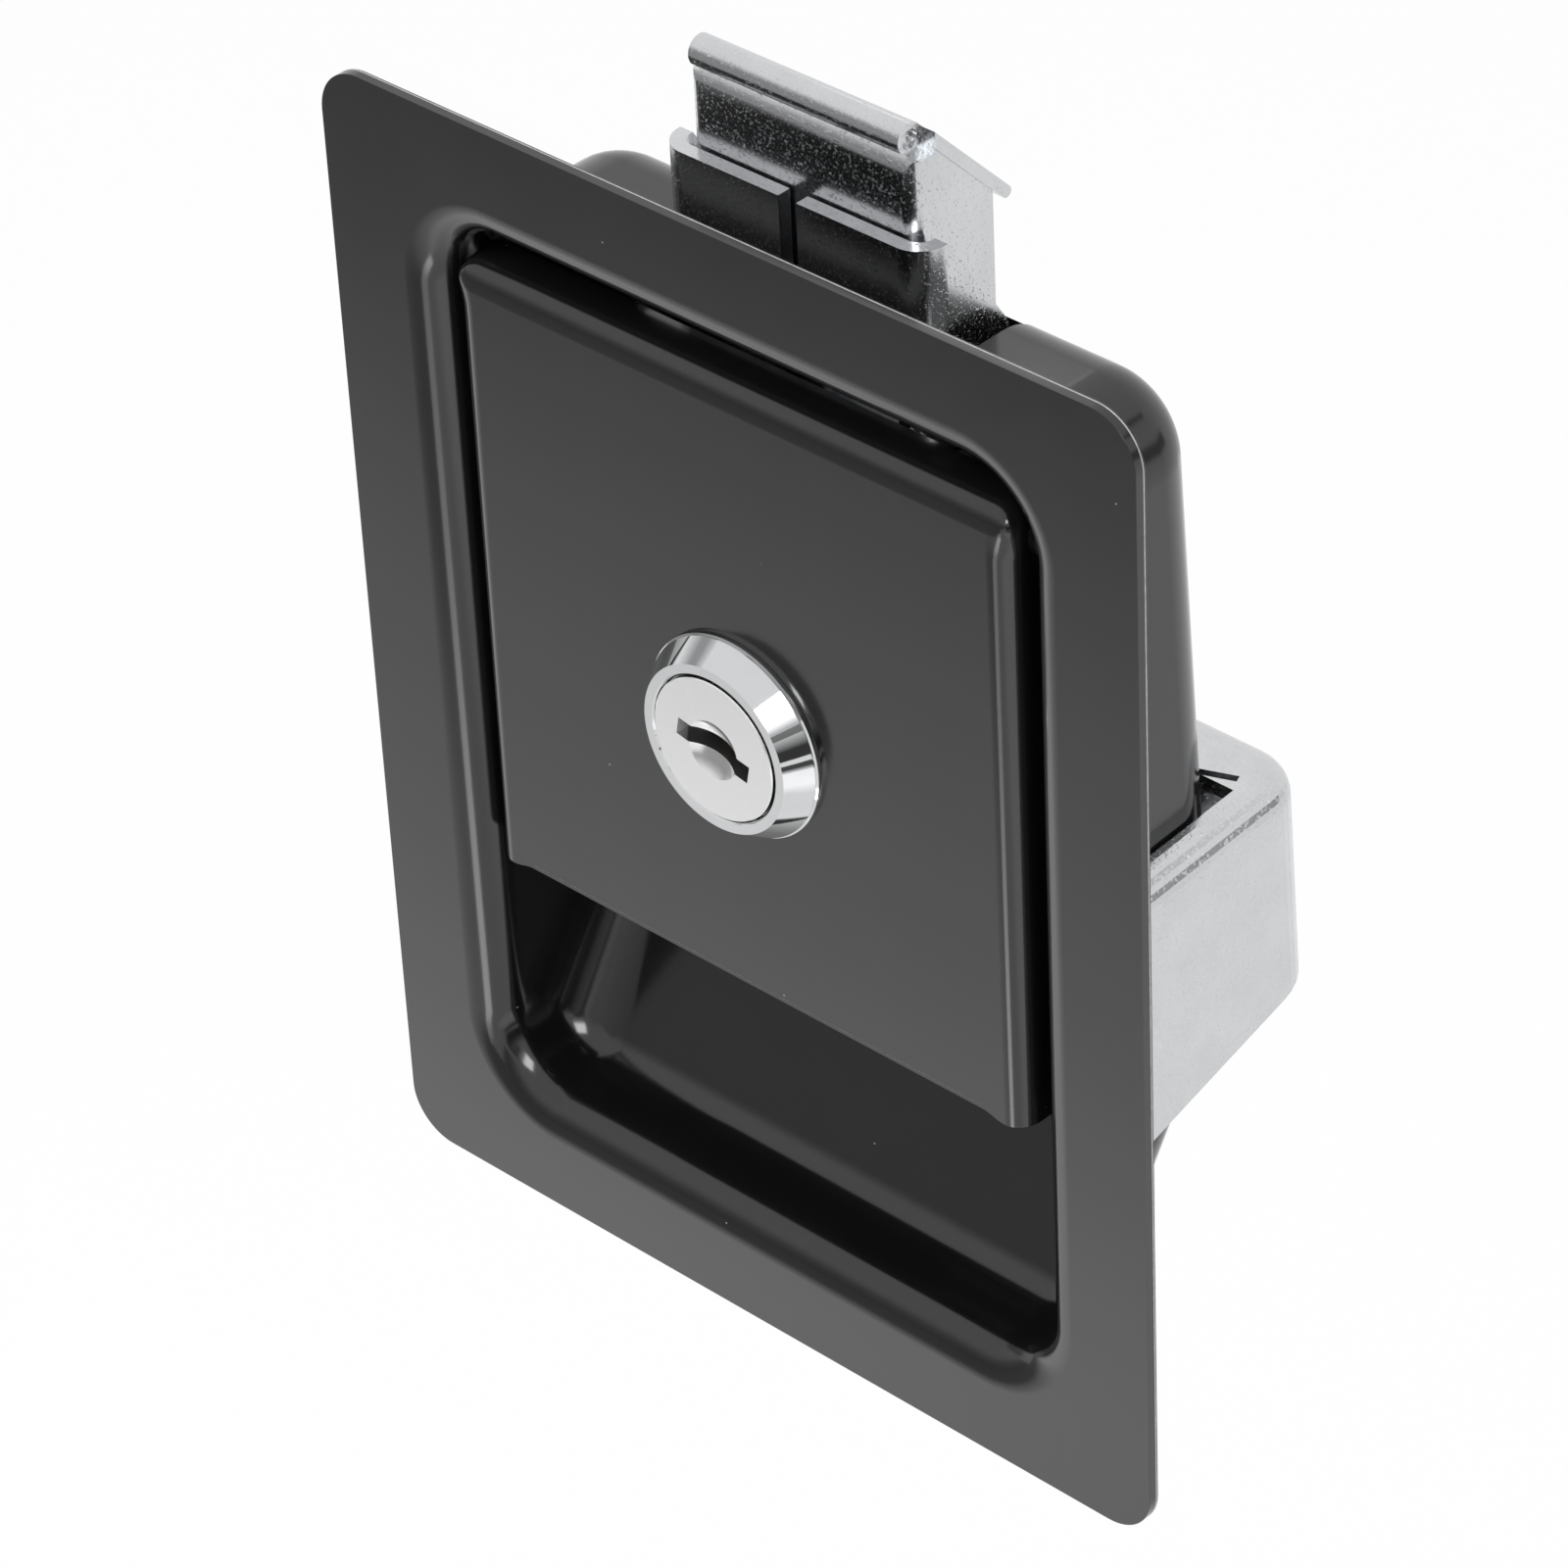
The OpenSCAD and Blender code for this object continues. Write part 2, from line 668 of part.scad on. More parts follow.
// Side outline of the handle: short lip on top, lug round the hinge, deep flanges, rounded foot
module paddle_side() {
    low = -paddle_foot - corner_drop;
    back = face_y + paddle_depth;
    round_r = 4;
    translate([face_y - past, low + round_r])
        square([paddle_depth + past, hinge_z - low - round_r]);
    translate([face_y - past, low]) square([paddle_depth + past - round_r, hinge_z - low]);
    translate([back - round_r, low + round_r]) circle(round_r);
    translate([hinge_y, hinge_z]) circle(back - hinge_y);
    translate([face_y - past, hinge_z - past])
        square([paddle_lip + past, paddle_top + 2 * past - hinge_z]);
}

module paddle() {
    color("#48484a") difference() {
        paddle_form(0, face_y + paddle_depth + past, paddle_foot + corner_drop + past);
        paddle_form(sheet, face_y + paddle_depth + 3 * past,
                    paddle_foot + corner_drop + 4 * past);
        front_profile(-far / 2, far / 2) difference() {
            square(far, center = true);
            paddle_front();
        }
        side_profile(-far / 2, far / 2) difference() {
            square(far, center = true);
            paddle_side();
        }
        // Back edge of the lip between the side flanges
        translate([-paddle_w / 2 + paddle_r, face_y + paddle_lip, hinge_z])
            cube([paddle_w - 2 * paddle_r, far, far]);
        rod_x(bush_r + blend, -far / 2, far / 2, hinge_y, hinge_z);
        front_profile(face_y - past, inside_y + past) translate([0, lock_z])
            barrel_plan(seat);
    }
}

// Section of the lock barrel, round with two flats
module barrel_plan(grow) {
    intersection() {
        circle(barrel_r + grow);
        square([2 * (barrel_r + grow), 2 * (barrel_r - 0.7 + grow)], center = true);
    }
}

module hinge_bushes() {
    color("#c9c6bb") both_sides() difference() {
        rod_x(bush_r, paddle_in - 1.4, half_w - 3 * slide, hinge_y, hinge_z);
        rod_x(hinge_pin_r + turn, 0, far, hinge_y, hinge_z);
    }
}

// Outline of a lever arm: foot behind the handle, boss at the hinge, finger over the stub pin
module arm_outline() {
    arm_top = hinge_z + 4.3;
    tip = back_at(arm_top) - 2 * slide;
    polygon([[inside_y + seat, lever_foot + 2], [inside_y + seat, lever_top],
             [hinge_y, hinge_z + boss_r], [hinge_y + 3.2, arm_top], [tip - 1.2, arm_top],
             [tip - 0.2, arm_top - 1.3], [tip, arm_under], [hinge_y + 3.6, arm_under],
             [hinge_y + 1, hinge_z - 4.1]]);
    translate([hinge_y, hinge_z]) circle(boss_r);
}

module paddle_lever() {
    web_y = inside_y + seat;
    color("#bfc1c3") difference() {
        union() {
            both_sides() side_profile(arm_x, arm_x + arm_t) arm_outline();
            translate([-arm_x - arm_t, web_y, lever_foot])
                cube([2 * (arm_x + arm_t), plate, lever_top - lever_foot]);
        }
        rod_x(hinge_pin_r + turn, -far / 2, far / 2, hinge_y, hinge_z);
    }
}

module lock_body() {
    color("#dcdddf") difference() {
        union() {
            translate([0, face_y, lock_z]) rotate([90, 0, 0]) rotate_extrude() polygon([
                [0, 0], [bezel_r, 0], [bezel_r, 0.5], [bezel_front_r, bezel_h], [0, bezel_h]]);
            front_profile(face_y - blend, barrel_end) translate([0, lock_z]) barrel_plan(0);
        }
        rod_y(plug_r + turn, bezel_y - past, barrel_end + past, 0, lock_z);
    }
}

module lock_washer() {
    color("#a6a8aa") difference() {
        rod_y(lock_washer_r, inside_y + seat, inside_y + seat + 0.8, 0, lock_z);
        rod_y(barrel_r + 0.15, -far / 2, far / 2, 0, lock_z);
    }
}

module lock_nut() {
    nut_y = inside_y + 2 * seat + 0.8;
    across = 2 * barrel_r + 5;
    color("#b2b4b6") difference() {
        front_profile(nut_y, nut_y + 3.2) translate([0, lock_z]) hexagon(across);
        rod_y(barrel_r + blend, -far / 2, far / 2, 0, lock_z);
    }
}

module wafer_places() {
    for (i = [0 : wafer_count - 1])
        translate([0, face_y + 2 + 2.3 * i, lock_z]) rotate([0, keyway_tilt, 0]) children();
}

module lock_plug() {
    color("#cfd0d2") difference() {
        union() {
            rod_y(plug_r, plug_y, cam_y, 0, lock_z);
            translate([-square_w / 2, cam_y - blend, lock_z - square_w / 2])
                cube([square_w, cam_t + 2 * blend, square_w]);
        }
        translate([0, 0, lock_z]) rotate([0, keyway_tilt, 0])
            translate([-keyway_l / 2, plug_y - past, -keyway_w / 2])
                cube([keyway_l, past + 14.6, keyway_w]);
        // Lead-in dimple round the keyway
        translate([0, plug_y - 0.01, lock_z]) rotate([-90, 0, 0])
            cylinder(h = 1.1, r1 = 2.8, r2 = 0.6);
        // Slots for the wafers
        wafer_places() translate([-wafer_w / 2 - 0.1, 0, -far / 2])
            cube([wafer_w + 0.2, wafer_t + 0.1, far]);
        rod_y(1.6, cam_y - 4, far, 0, lock_z);
    }
}

module lock_wafers() {
    color("#c9a94f") wafer_places() front_profile(0.05, wafer_t + 0.05) difference() {
        square([wafer_w, 2 * plug_r - 1.9], center = true);
        square([wafer_w - 1.8, wafer_w - 1.4], center = true);
    }
}

module lock_cam() {
    color("#b7b9bb") difference() {
        front_profile(cam_y + seat, cam_y + cam_t) translate([0, lock_z]) {
            circle(r = plug_r + 1);
            translate([0, -cam_w / 2]) square([cam_len - cam_w / 2, cam_w]);
            translate([cam_len - cam_w / 2, 0]) circle(cam_w / 2);
        }
        translate([-square_w / 2 - blend, 0, lock_z - square_w / 2 - blend])
            cube([square_w + 2 * blend, far, square_w + 2 * blend]);
    }
}

module cam_washer() {
    washer_y = cam_y + cam_t + seat;
    color("#a6a8aa") difference() {
        rod_y(4.6, washer_y, washer_y + 0.8, 0, lock_z);
        rod_y(1.75, 0, far, 0, lock_z);
    }
}

module cam_screw() {
    head_y = cam_y + cam_t + 0.8 + 2 * seat;
    color("#9d9fa1") difference() {
        union() {
            rod_y(1.55, cam_y - 3.5, head_y + blend, 0, lock_z);
            rod_y(3.2, head_y, head_y + screw_r, 0, lock_z);
        }
        translate([-far / 2, head_y + 1, lock_z - 0.4]) cube([far, far, 0.8]);
        translate([-0.4, head_y + 1, lock_z - far / 2]) cube([0.8, far, far]);
    }
}

pan();
bolt_guide();
guide_rivets();
hinge_pin();
hinge_clips();
clamp_bracket();
clamp_studs();
clamp_washers();
clamp_nuts();
lock_keeper();
keeper_rivets();
bolt_spring();
latch_bolt();
bolt_pins();
paddle();
paddle_lever();
hinge_bushes();
lock_body();
lock_washer();
lock_nut();
lock_plug();
lock_wafers();
lock_cam();
cam_washer();
cam_screw();
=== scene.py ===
# %% [markdown]
# # A recessed handle lock, dressed in Blender
#
# The object is a flush handle with a key lock for a toolbox or cabinet door. A black pan is let into
# the door, a black paddle handle hangs in it, and behind both sit a bright zinc-plated slam bolt, the
# channel that guides it, and a clamp that holds the pan to the door.
#
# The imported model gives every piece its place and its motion. This script gives each piece its look:
# the pressed sheet is rebuilt as smooth meshes with rolled edges, and the small hardware keeps its
# solid and gets softened edges and a finish of its own.

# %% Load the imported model
import math
import bmesh
import bpy
from mathutils import Matrix, Vector


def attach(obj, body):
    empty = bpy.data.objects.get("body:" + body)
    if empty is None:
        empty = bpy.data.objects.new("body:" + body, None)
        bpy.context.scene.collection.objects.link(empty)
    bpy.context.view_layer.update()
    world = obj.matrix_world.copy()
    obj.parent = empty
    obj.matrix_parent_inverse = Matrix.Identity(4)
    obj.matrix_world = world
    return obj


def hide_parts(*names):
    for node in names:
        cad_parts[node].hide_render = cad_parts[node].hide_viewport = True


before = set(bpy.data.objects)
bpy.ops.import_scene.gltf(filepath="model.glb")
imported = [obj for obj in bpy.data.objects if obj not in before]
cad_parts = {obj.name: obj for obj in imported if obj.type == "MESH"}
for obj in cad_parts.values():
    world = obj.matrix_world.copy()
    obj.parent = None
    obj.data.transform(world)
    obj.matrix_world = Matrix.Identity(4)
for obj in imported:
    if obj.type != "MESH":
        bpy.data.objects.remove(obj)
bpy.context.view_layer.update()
scene = bpy.context.scene
scene.view_settings.view_transform = "Standard"

# %% [markdown]
# ## The camera
#
# The photograph is a close product shot through a long lens, from the right and from above. A lens
# of about 155 mm on a 36 mm sensor gives its gentle perspective. The camera's axes are built from
# three plain angles, the way a tripod head is set: turn, tilt and a slight roll.

# %% Camera
CAMERA_AT = Vector((0.347074, -0.347069, 0.355179))
LENS_MM, SENSOR_MM = 154.604, 36
TURN, TILT, ROLL = (math.radians(a) for a in (44.615, 35.729, -2.940))


def camera_axes(turn, tilt, roll):
    """Right, up and back directions of a camera that looks at the object from turn and tilt."""
    back = Vector((math.cos(tilt) * math.sin(turn), -math.cos(tilt) * math.cos(turn), math.sin(tilt)))
    level = Vector((math.cos(turn), math.sin(turn), 0))
    upright = back.cross(level)
    right = level * math.cos(roll) + upright * math.sin(roll)
    return right, back.cross(right), back


camera = bpy.data.objects.new("camera", bpy.data.cameras.new("camera"))
scene.collection.objects.link(camera)
camera.data.lens = LENS_MM
camera.data.sensor_width = SENSOR_MM
facing = Matrix(camera_axes(TURN, TILT, ROLL)).transposed().to_4x4()
camera.matrix_world = Matrix.Translation(CAMERA_AT) @ facing
scene.camera = camera

# %% [markdown]
# ## Helpers for materials
#
# A finish is a small tree of shader nodes. One function adds a node with its settings and links, so
# each material reads as a list of what it is made of. Colours are written as the hex values that a
# paint chart shows and turned to the linear values that light adds up in.

# %% Material helpers
def linear(code):
    """Linear colour from an sRGB hex code such as #1a1a1b."""
    parts = [int(code[i:i + 2], 16) / 255 for i in (1, 3, 5)]
    return tuple(c / 12.92 if c <= 0.04045 else ((c + 0.055) / 1.055) ** 2.4 for c in parts) + (1.0,)


def add(tree, kind, inputs=(), **settings):
    """Adds one node; inputs pairs a socket's name or number with a value or with another node's output."""
    made = tree.nodes.new(kind)
    for key, value in settings.items():
        setattr(made, key, value)
    for key, value in dict(inputs).items():
        if isinstance(value, bpy.types.NodeSocket):
            tree.links.new(value, made.inputs[key])
        else:
            made.inputs[key].default_value = value
    return made


def per_mm(size_mm):
    """Noise scale for a feature of that size, in coordinates that are metres."""
    return 1000 / size_mm


def start(name):
    """A new material with its shader, and the coordinates fixed to the piece."""
    material = bpy.data.materials.new(name)
    material.use_nodes = True
    tree = material.node_tree
    shader = tree.nodes["Principled BSDF"]
    place = add(tree, "ShaderNodeTexCoord").outputs["Object"]
    return material, tree, shader, place


def ramp(tree, source, low, high, start_at=0.0, end_at=1.0):
    """Turns a value between start_at and end_at into one between low and high."""
    return add(tree, "ShaderNodeMapRange", {"Value": source, "From Min": start_at, "From Max": end_at,
                                            "To Min": low, "To Max": high}).outputs["Result"]


def blend(tree, share, dark, light):
    """Mixes two colours, each a hex code or another node's output."""
    mix = tree.nodes.new("ShaderNodeMix")
    mix.data_type = "RGBA"
    tree.links.new(share, mix.inputs[0])
    for socket, colour in ((mix.inputs[6], dark), (mix.inputs[7], light)):
        if isinstance(colour, str):
            socket.default_value = linear(colour)
        else:
            tree.links.new(colour, socket)
    return mix.outputs[2]


def relief(tree, shader, height, strength, depth_mm):
    """Bumps a surface by a height between 0 and 1."""
    bump = add(tree, "ShaderNodeBump", {"Height": height, "Strength": strength, "Distance": depth_mm / 1000})
    tree.links.new(bump.outputs[0], shader.inputs["Normal"])


# %% [markdown]
# ## Black paint
#
# Pan and handle are pressed steel under a baked black enamel, put on as a powder that flows out in
# the oven. It dries to a smooth, glossy skin with a very shallow orange peel. The eye reads it by
# what it mirrors: white where it faces the studio, deep black inside the recess. A few specks of
# dust that settled in the oven break the surface.

# %% Baked black enamel
PEEL_MM = 1.6
SPECK_CELL_MM = 4.2
SPECK_MM = 0.17


def baked_black_enamel():
    material, tree, shader, place = start("baked_black_enamel")
    cloud = add(tree, "ShaderNodeTexNoise", {"Vector": place, "Scale": per_mm(9), "Detail": 2.0})
    cells = add(tree, "ShaderNodeTexVoronoi", {"Vector": place, "Scale": per_mm(SPECK_CELL_MM)})
    pick = add(tree, "ShaderNodeSeparateColor", {"Color": cells.outputs["Color"]})
    chosen = add(tree, "ShaderNodeMath", {0: pick.outputs[0], 1: 0.7}, operation="GREATER_THAN")
    near = add(tree, "ShaderNodeMath", {0: cells.outputs["Distance"], 1: SPECK_MM / SPECK_CELL_MM / 2},
               operation="LESS_THAN")
    speck = add(tree, "ShaderNodeMath", {0: chosen.outputs[0], 1: near.outputs[0]}, operation="MULTIPLY")
    coat = blend(tree, cloud.outputs["Fac"], "#111112", "#171718")
    tree.links.new(blend(tree, speck.outputs[0], coat, "#9a9a9b"), shader.inputs["Base Color"])
    peel = add(tree, "ShaderNodeTexNoise", {"Vector": place, "Scale": per_mm(PEEL_MM), "Detail": 1.0})
    relief(tree, shader, peel.outputs["Fac"], 0.04, 0.05)
    tree.links.new(ramp(tree, cloud.outputs["Fac"], 0.12, 0.17), shader.inputs["Roughness"])
    shader.inputs["IOR"].default_value = 1.6
    return material


# %% [markdown]
# ## Bright zinc plate
#
# Bolt, guide, clamp and the hidden brackets are sheet steel, pressed and then zinc-plated with a
# clear passivate. The plate follows the rolled grain of the sheet, so it mirrors softly and breaks
# up a dark reflection into fine grains, with paler clouds where the bath deposited more.

# %% Zinc plate
GRAIN_MM = 0.32
CLOUD_MM = 5.0


def zinc_plate(name, light, dark, rough_low, rough_high, grain):
    material, tree, shader, place = start(name)
    cloud = add(tree, "ShaderNodeTexNoise", {"Vector": place, "Scale": per_mm(CLOUD_MM), "Detail": 3.0})
    fine = add(tree, "ShaderNodeTexNoise", {"Vector": place, "Scale": per_mm(GRAIN_MM), "Detail": 2.0,
                                            "Roughness": 0.6})
    both = add(tree, "ShaderNodeMath", {0: cloud.outputs["Fac"], 1: fine.outputs["Fac"]}, operation="ADD")
    share = ramp(tree, both.outputs[0], 0.0, 1.0, 0.7, 1.3)
    tree.links.new(blend(tree, share, dark, light), shader.inputs["Base Color"])
    tree.links.new(ramp(tree, fine.outputs["Fac"], rough_low, rough_high), shader.inputs["Roughness"])
    relief(tree, shader, ramp(tree, fine.outputs["Fac"], 0.0, 1.0, 0.58, 0.78), grain, 0.05)
    shader.inputs["Metallic"].default_value = 1.0
    return material


# %% [markdown]
# ## Lock metals and small parts
#
# The lock body is die-cast zinc, polished and chromed, so its cone mirrors the room sharply. The plug
# is satin nickel, rubbed in circles. Wafers are stamped brass, the spring is drawn steel wire, and
# the hinge bushes are moulded black nylon.

# %% Lock metals, wire and nylon
SCRATCH_MM = 0.5


def plain_metal(name, light, dark, rough_low, rough_high, feature_mm):
    """A metal whose tone and roughness vary over features of one size."""
    material, tree, shader, place = start(name)
    noise = add(tree, "ShaderNodeTexNoise", {"Vector": place, "Scale": per_mm(feature_mm), "Detail": 3.0})
    tree.links.new(blend(tree, noise.outputs["Fac"], dark, light), shader.inputs["Base Color"])
    tree.links.new(ramp(tree, noise.outputs["Fac"], rough_low, rough_high), shader.inputs["Roughness"])
    relief(tree, shader, noise.outputs["Fac"], 0.06, 0.02)
    shader.inputs["Metallic"].default_value = 1.0
    return material


def moulded_black_nylon():
    material, tree, shader, place = start("moulded_black_nylon")
    noise = add(tree, "ShaderNodeTexNoise", {"Vector": place, "Scale": per_mm(0.8), "Detail": 2.0})
    tree.links.new(blend(tree, noise.outputs["Fac"], "#141415", "#1c1c1d"), shader.inputs["Base Color"])
    shader.inputs["Roughness"].default_value = 0.45
    shader.inputs["IOR"].default_value = 1.53
    return material


enamel = baked_black_enamel()
zinc = zinc_plate("bright_zinc_plate", "#d1d2d4", "#c7c9cb", 0.15, 0.26, 0.75)
hardware = zinc_plate("zinc_plated_hardware", "#cdced0", "#a9abad", 0.22, 0.40, 0.3)
chrome = plain_metal("polished_chrome", "#d4d5d6", "#cbcccd", 0.03, 0.06, 2.0)
nickel = plain_metal("satin_nickel", "#e9e9e9", "#dfdfdf", 0.18, 0.28, SCRATCH_MM)
wire = plain_metal("drawn_spring_wire", "#9b9c9e", "#7c7d80", 0.25, 0.4, 0.6)
# Pale, part-metal colour that the lamps light; it paints a bright lit face on each end wall of the keyway.
slot_end_highlight = plain_metal("painted_slot_end_highlight", "#b4b4b6", "#7c7c7e", 0.4, 0.6, 0.4)
slot_end_highlight.node_tree.nodes["Principled BSDF"].inputs["Metallic"].default_value = 0.3
# Pale, part-metal colour that the lamps light; it paints the fine bright highlight lines along the flange's
# border and the handle's foot.
highlight = plain_metal("painted_edge_highlight", "#cfcfd1", "#8c8c8f", 0.35, 0.5, 0.6)
highlight.node_tree.nodes["Principled BSDF"].inputs["Metallic"].default_value = 0.3
brass = plain_metal("stamped_brass", "#d8b868", "#b8964a", 0.2, 0.35, 0.8)
nylon = moulded_black_nylon()
print("materials:", [m.name for m in bpy.data.materials])

# %% [markdown]
# ## Helpers for meshes
#
# Meshes are drawn in millimetres, as on a drawing, and scaled to metres once. Sheet metal never has
# a knife edge, so each piece gets a narrow bevel on its sharp edges, and normals weighted by face
# size keep its flats flat while the bends stay smooth.

# %% Mesh helpers
MM = 0.001
SHARP = math.radians(32)


def arc(x, y, radius, start_deg, end_deg, steps):
    """Points on an arc, both ends included."""
    angles = [math.radians(start_deg + (end_deg - start_deg) * i / steps) for i in range(steps + 1)]
    return [(x + radius * math.cos(a), y + radius * math.sin(a)) for a in angles]


def soften(obj, width_mm, segments=2):
    """Rounds the sharp edges of a piece and smooths its shading."""
    for polygon in obj.data.polygons:
        polygon.use_smooth = True
    bevel = obj.modifiers.new("soft_edges", "BEVEL")
    bevel.width = width_mm * MM
    bevel.segments = segments
    bevel.limit_method = "ANGLE"
    bevel.angle_limit = SHARP
    bevel.harden_normals = False
    normals = obj.modifiers.new("flat_flats", "WEIGHTED_NORMAL")
    normals.keep_sharp = True
    normals.weight = 70


def make(name, bm, material, body, *replaced, edge_mm=0.15):
    """Turns a mesh drawn in mm into a piece that rides on a body and stands for its CAD nodes."""
    mesh = bpy.data.meshes.new(name)
    bmesh.ops.transform(bm, matrix=Matrix.Scale(MM, 4), verts=bm.verts)
    bm.to_mesh(mesh)
    bm.free()
    obj = bpy.data.objects.new(name, mesh)
    scene.collection.objects.link(obj)
    mesh.materials.append(material)
    if edge_mm:
        soften(obj, edge_mm)
    else:
        for polygon in mesh.polygons:
            polygon.use_smooth = True
        mesh.set_sharp_from_angle(angle=SHARP)
    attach(obj, body)
    if replaced:
        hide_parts(*replaced)
    return obj


def prism(outline, low, high, axis):
    """A closed solid: an outline drawn in the two other axes, in X, Y, Z order, swept along axis."""
    bm = bmesh.new()
    order = {"X": lambda a, b, t: (t, a, b), "Y": lambda a, b, t: (a, t, b), "Z": lambda a, b, t: (a, b, t)}
    rings = [[bm.verts.new(order[axis](a, b, t)) for a, b in outline] for t in (low, high)]
    bm.faces.new(rings[0])
    bm.faces.new(rings[1][::-1])
    for i in range(len(outline)):
        j = (i + 1) % len(outline)
        bm.faces.new((rings[0][i], rings[1][i], rings[1][j], rings[0][j]))
    bmesh.ops.recalc_face_normals(bm, faces=bm.faces)
    return bm


def combine(base, other, operation):
    """Joins, cuts or intersects two meshes drawn in mm, and returns the result."""
    objects = []
    for bm in (base, other):
        mesh = bpy.data.meshes.new("scratch")
        bm.to_mesh(mesh)
        bm.free()
        obj = bpy.data.objects.new("scratch", mesh)
        scene.collection.objects.link(obj)
        objects.append(obj)
    step = objects[0].modifiers.new("combine", "BOOLEAN")
    step.object = objects[1]
    step.operation = operation
    step.solver = "EXACT"
    result = bmesh.new()
    result.from_object(objects[0], bpy.context.evaluated_depsgraph_get())
    for obj in objects:
        mesh = obj.data
        bpy.data.objects.remove(obj)
        bpy.data.meshes.remove(mesh)
    return result


def turned(profile, at, steps=96, closed=True):
    """A turned solid about an axis along Y through at = (x, z); profile is a list of (radius, y)."""
    bm = bmesh.new()
    rings = []
    for radius, y in profile:
        if radius < 1e-6:
            rings.append([bm.verts.new((at[0], y, at[1]))] * steps)
            continue
        rings.append([bm.verts.new((at[0] + radius * math.cos(2 * math.pi * i / steps), y,
                                    at[1] + radius * math.sin(2 * math.pi * i / steps)))
                      for i in range(steps)])
    pairs = list(zip(rings, rings[1:] + rings[:1])) if closed else list(zip(rings, rings[1:]))
    for first, second in pairs:
        for i in range(steps):
            j = (i + 1) % steps
            corners = []
            for v in (first[i], first[j], second[j], second[i]):
                if v not in corners:
                    corners.append(v)
            if len(corners) > 2:
                bm.faces.new(corners)
    bmesh.ops.recalc_face_normals(bm, faces=bm.faces)
    return bm


def box_solid(low, high):
    """A closed box between two corners, for cutting."""
    (x0, y0, z0), (x1, y1, z1) = low, high
    return prism([(x0, y0), (x1, y0), (x1, y1), (x0, y1)], z0, z1, "Z")


# %% [markdown]
# ## Sizes that the pressings share
#
# These are the sizes of the real product in millimetres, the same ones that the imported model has.
# The origin is the middle of the back of the flange: X to the right, Y into the door, Z up.

# %% Sizes
SHEET = 1.2
FLANGE_W, FLANGE_H, FLANGE_R = 95.25, 120.65, 5.0
HALF_W, HALF_H, CORNER_R = 34.6, 48.2, 7.0
LIP_R, BACK_R = 4.0, 4.8
PAN_DEPTH, LEAN, SCOOP_LEAN, SCOOP_FOOT = 23.5, math.radians(3.4), math.radians(31.8), 4.95
LIP_DEPTH = LIP_R - SHEET
GUIDE_W, GUIDE_FRONT = 31.3, 8.7
BOLT_BACK = 20.5

# %% [markdown]
# ## The pan
#
# The pan is one blank, pressed in a few hits: a flat flange, an edge rolled over with a 4 mm radius,
# straight walls, and a back that leans in towards the top and runs out in a scoop for the fingers.
# It could be cut from a block with booleans, but a pressing is a skin of one thickness. So the skin
# that faces the front is modelled alone, and Solidify gives it the sheet's 1.2 mm.
#
# The walls and the back are the convex hull of the round tools that pressed the corners. The rolled
# edge is a row of rounded rectangles that grow as they come forward.

# %% Pan skin
CORNER_STEPS = 16
BEND_STEPS = 12


def rounded_loop(x, z, radius, steps=CORNER_STEPS):
    """Points of a rounded rectangle whose corner centres lie at x and z, anticlockwise from the right."""
    points = []
    for sx, sz, first in ((1, 1, 0), (-1, 1, 90), (-1, -1, 180), (1, -1, 270)):
        points += arc(sx * x, sz * z, radius, first, first + 90, steps)
    return points


def ring_points(x, y, z, ring_r, tube_r, first):
    """Points on the outer back quarter of a pressed corner: a ring about an axis along Y."""
    points = []
    for i in range(CORNER_STEPS + 1):
        a = math.radians(first + 90 * i / CORNER_STEPS)
        for j in range(BEND_STEPS + 1):
            b = math.radians(90 * j / BEND_STEPS)
            reach = ring_r + tube_r * math.cos(b)
            points.append((x + reach * math.cos(a), y + tube_r * math.sin(b), z + reach * math.sin(a)))
    return points


def ball_points(x, y, z, radius, steps=24):
    """Points on a ball."""
    points = []
    for i in range(1, 2 * steps):
        b = math.pi * i / (2 * steps)
        for j in range(2 * steps):
            a = math.pi * j / steps
            points.append((x + radius * math.sin(b) * math.cos(a), y + radius * math.sin(b) * math.sin(a),
                           z + radius * math.cos(b)))
    return points


def knee():
    """Centre of the bend where the pan back turns into the scoop."""
    foot_z = -(HALF_H - BACK_R)
    reach = math.cos(SCOOP_LEAN) * SCOOP_FOOT - math.sin(SCOOP_LEAN) * foot_z
    upright = PAN_DEPTH - BACK_R / math.cos(LEAN)
    z = ((math.cos(SCOOP_LEAN) * upright - reach)
         / (math.cos(SCOOP_LEAN) * math.tan(LEAN) + math.sin(SCOOP_LEAN)))
    return upright - z * math.tan(LEAN), z


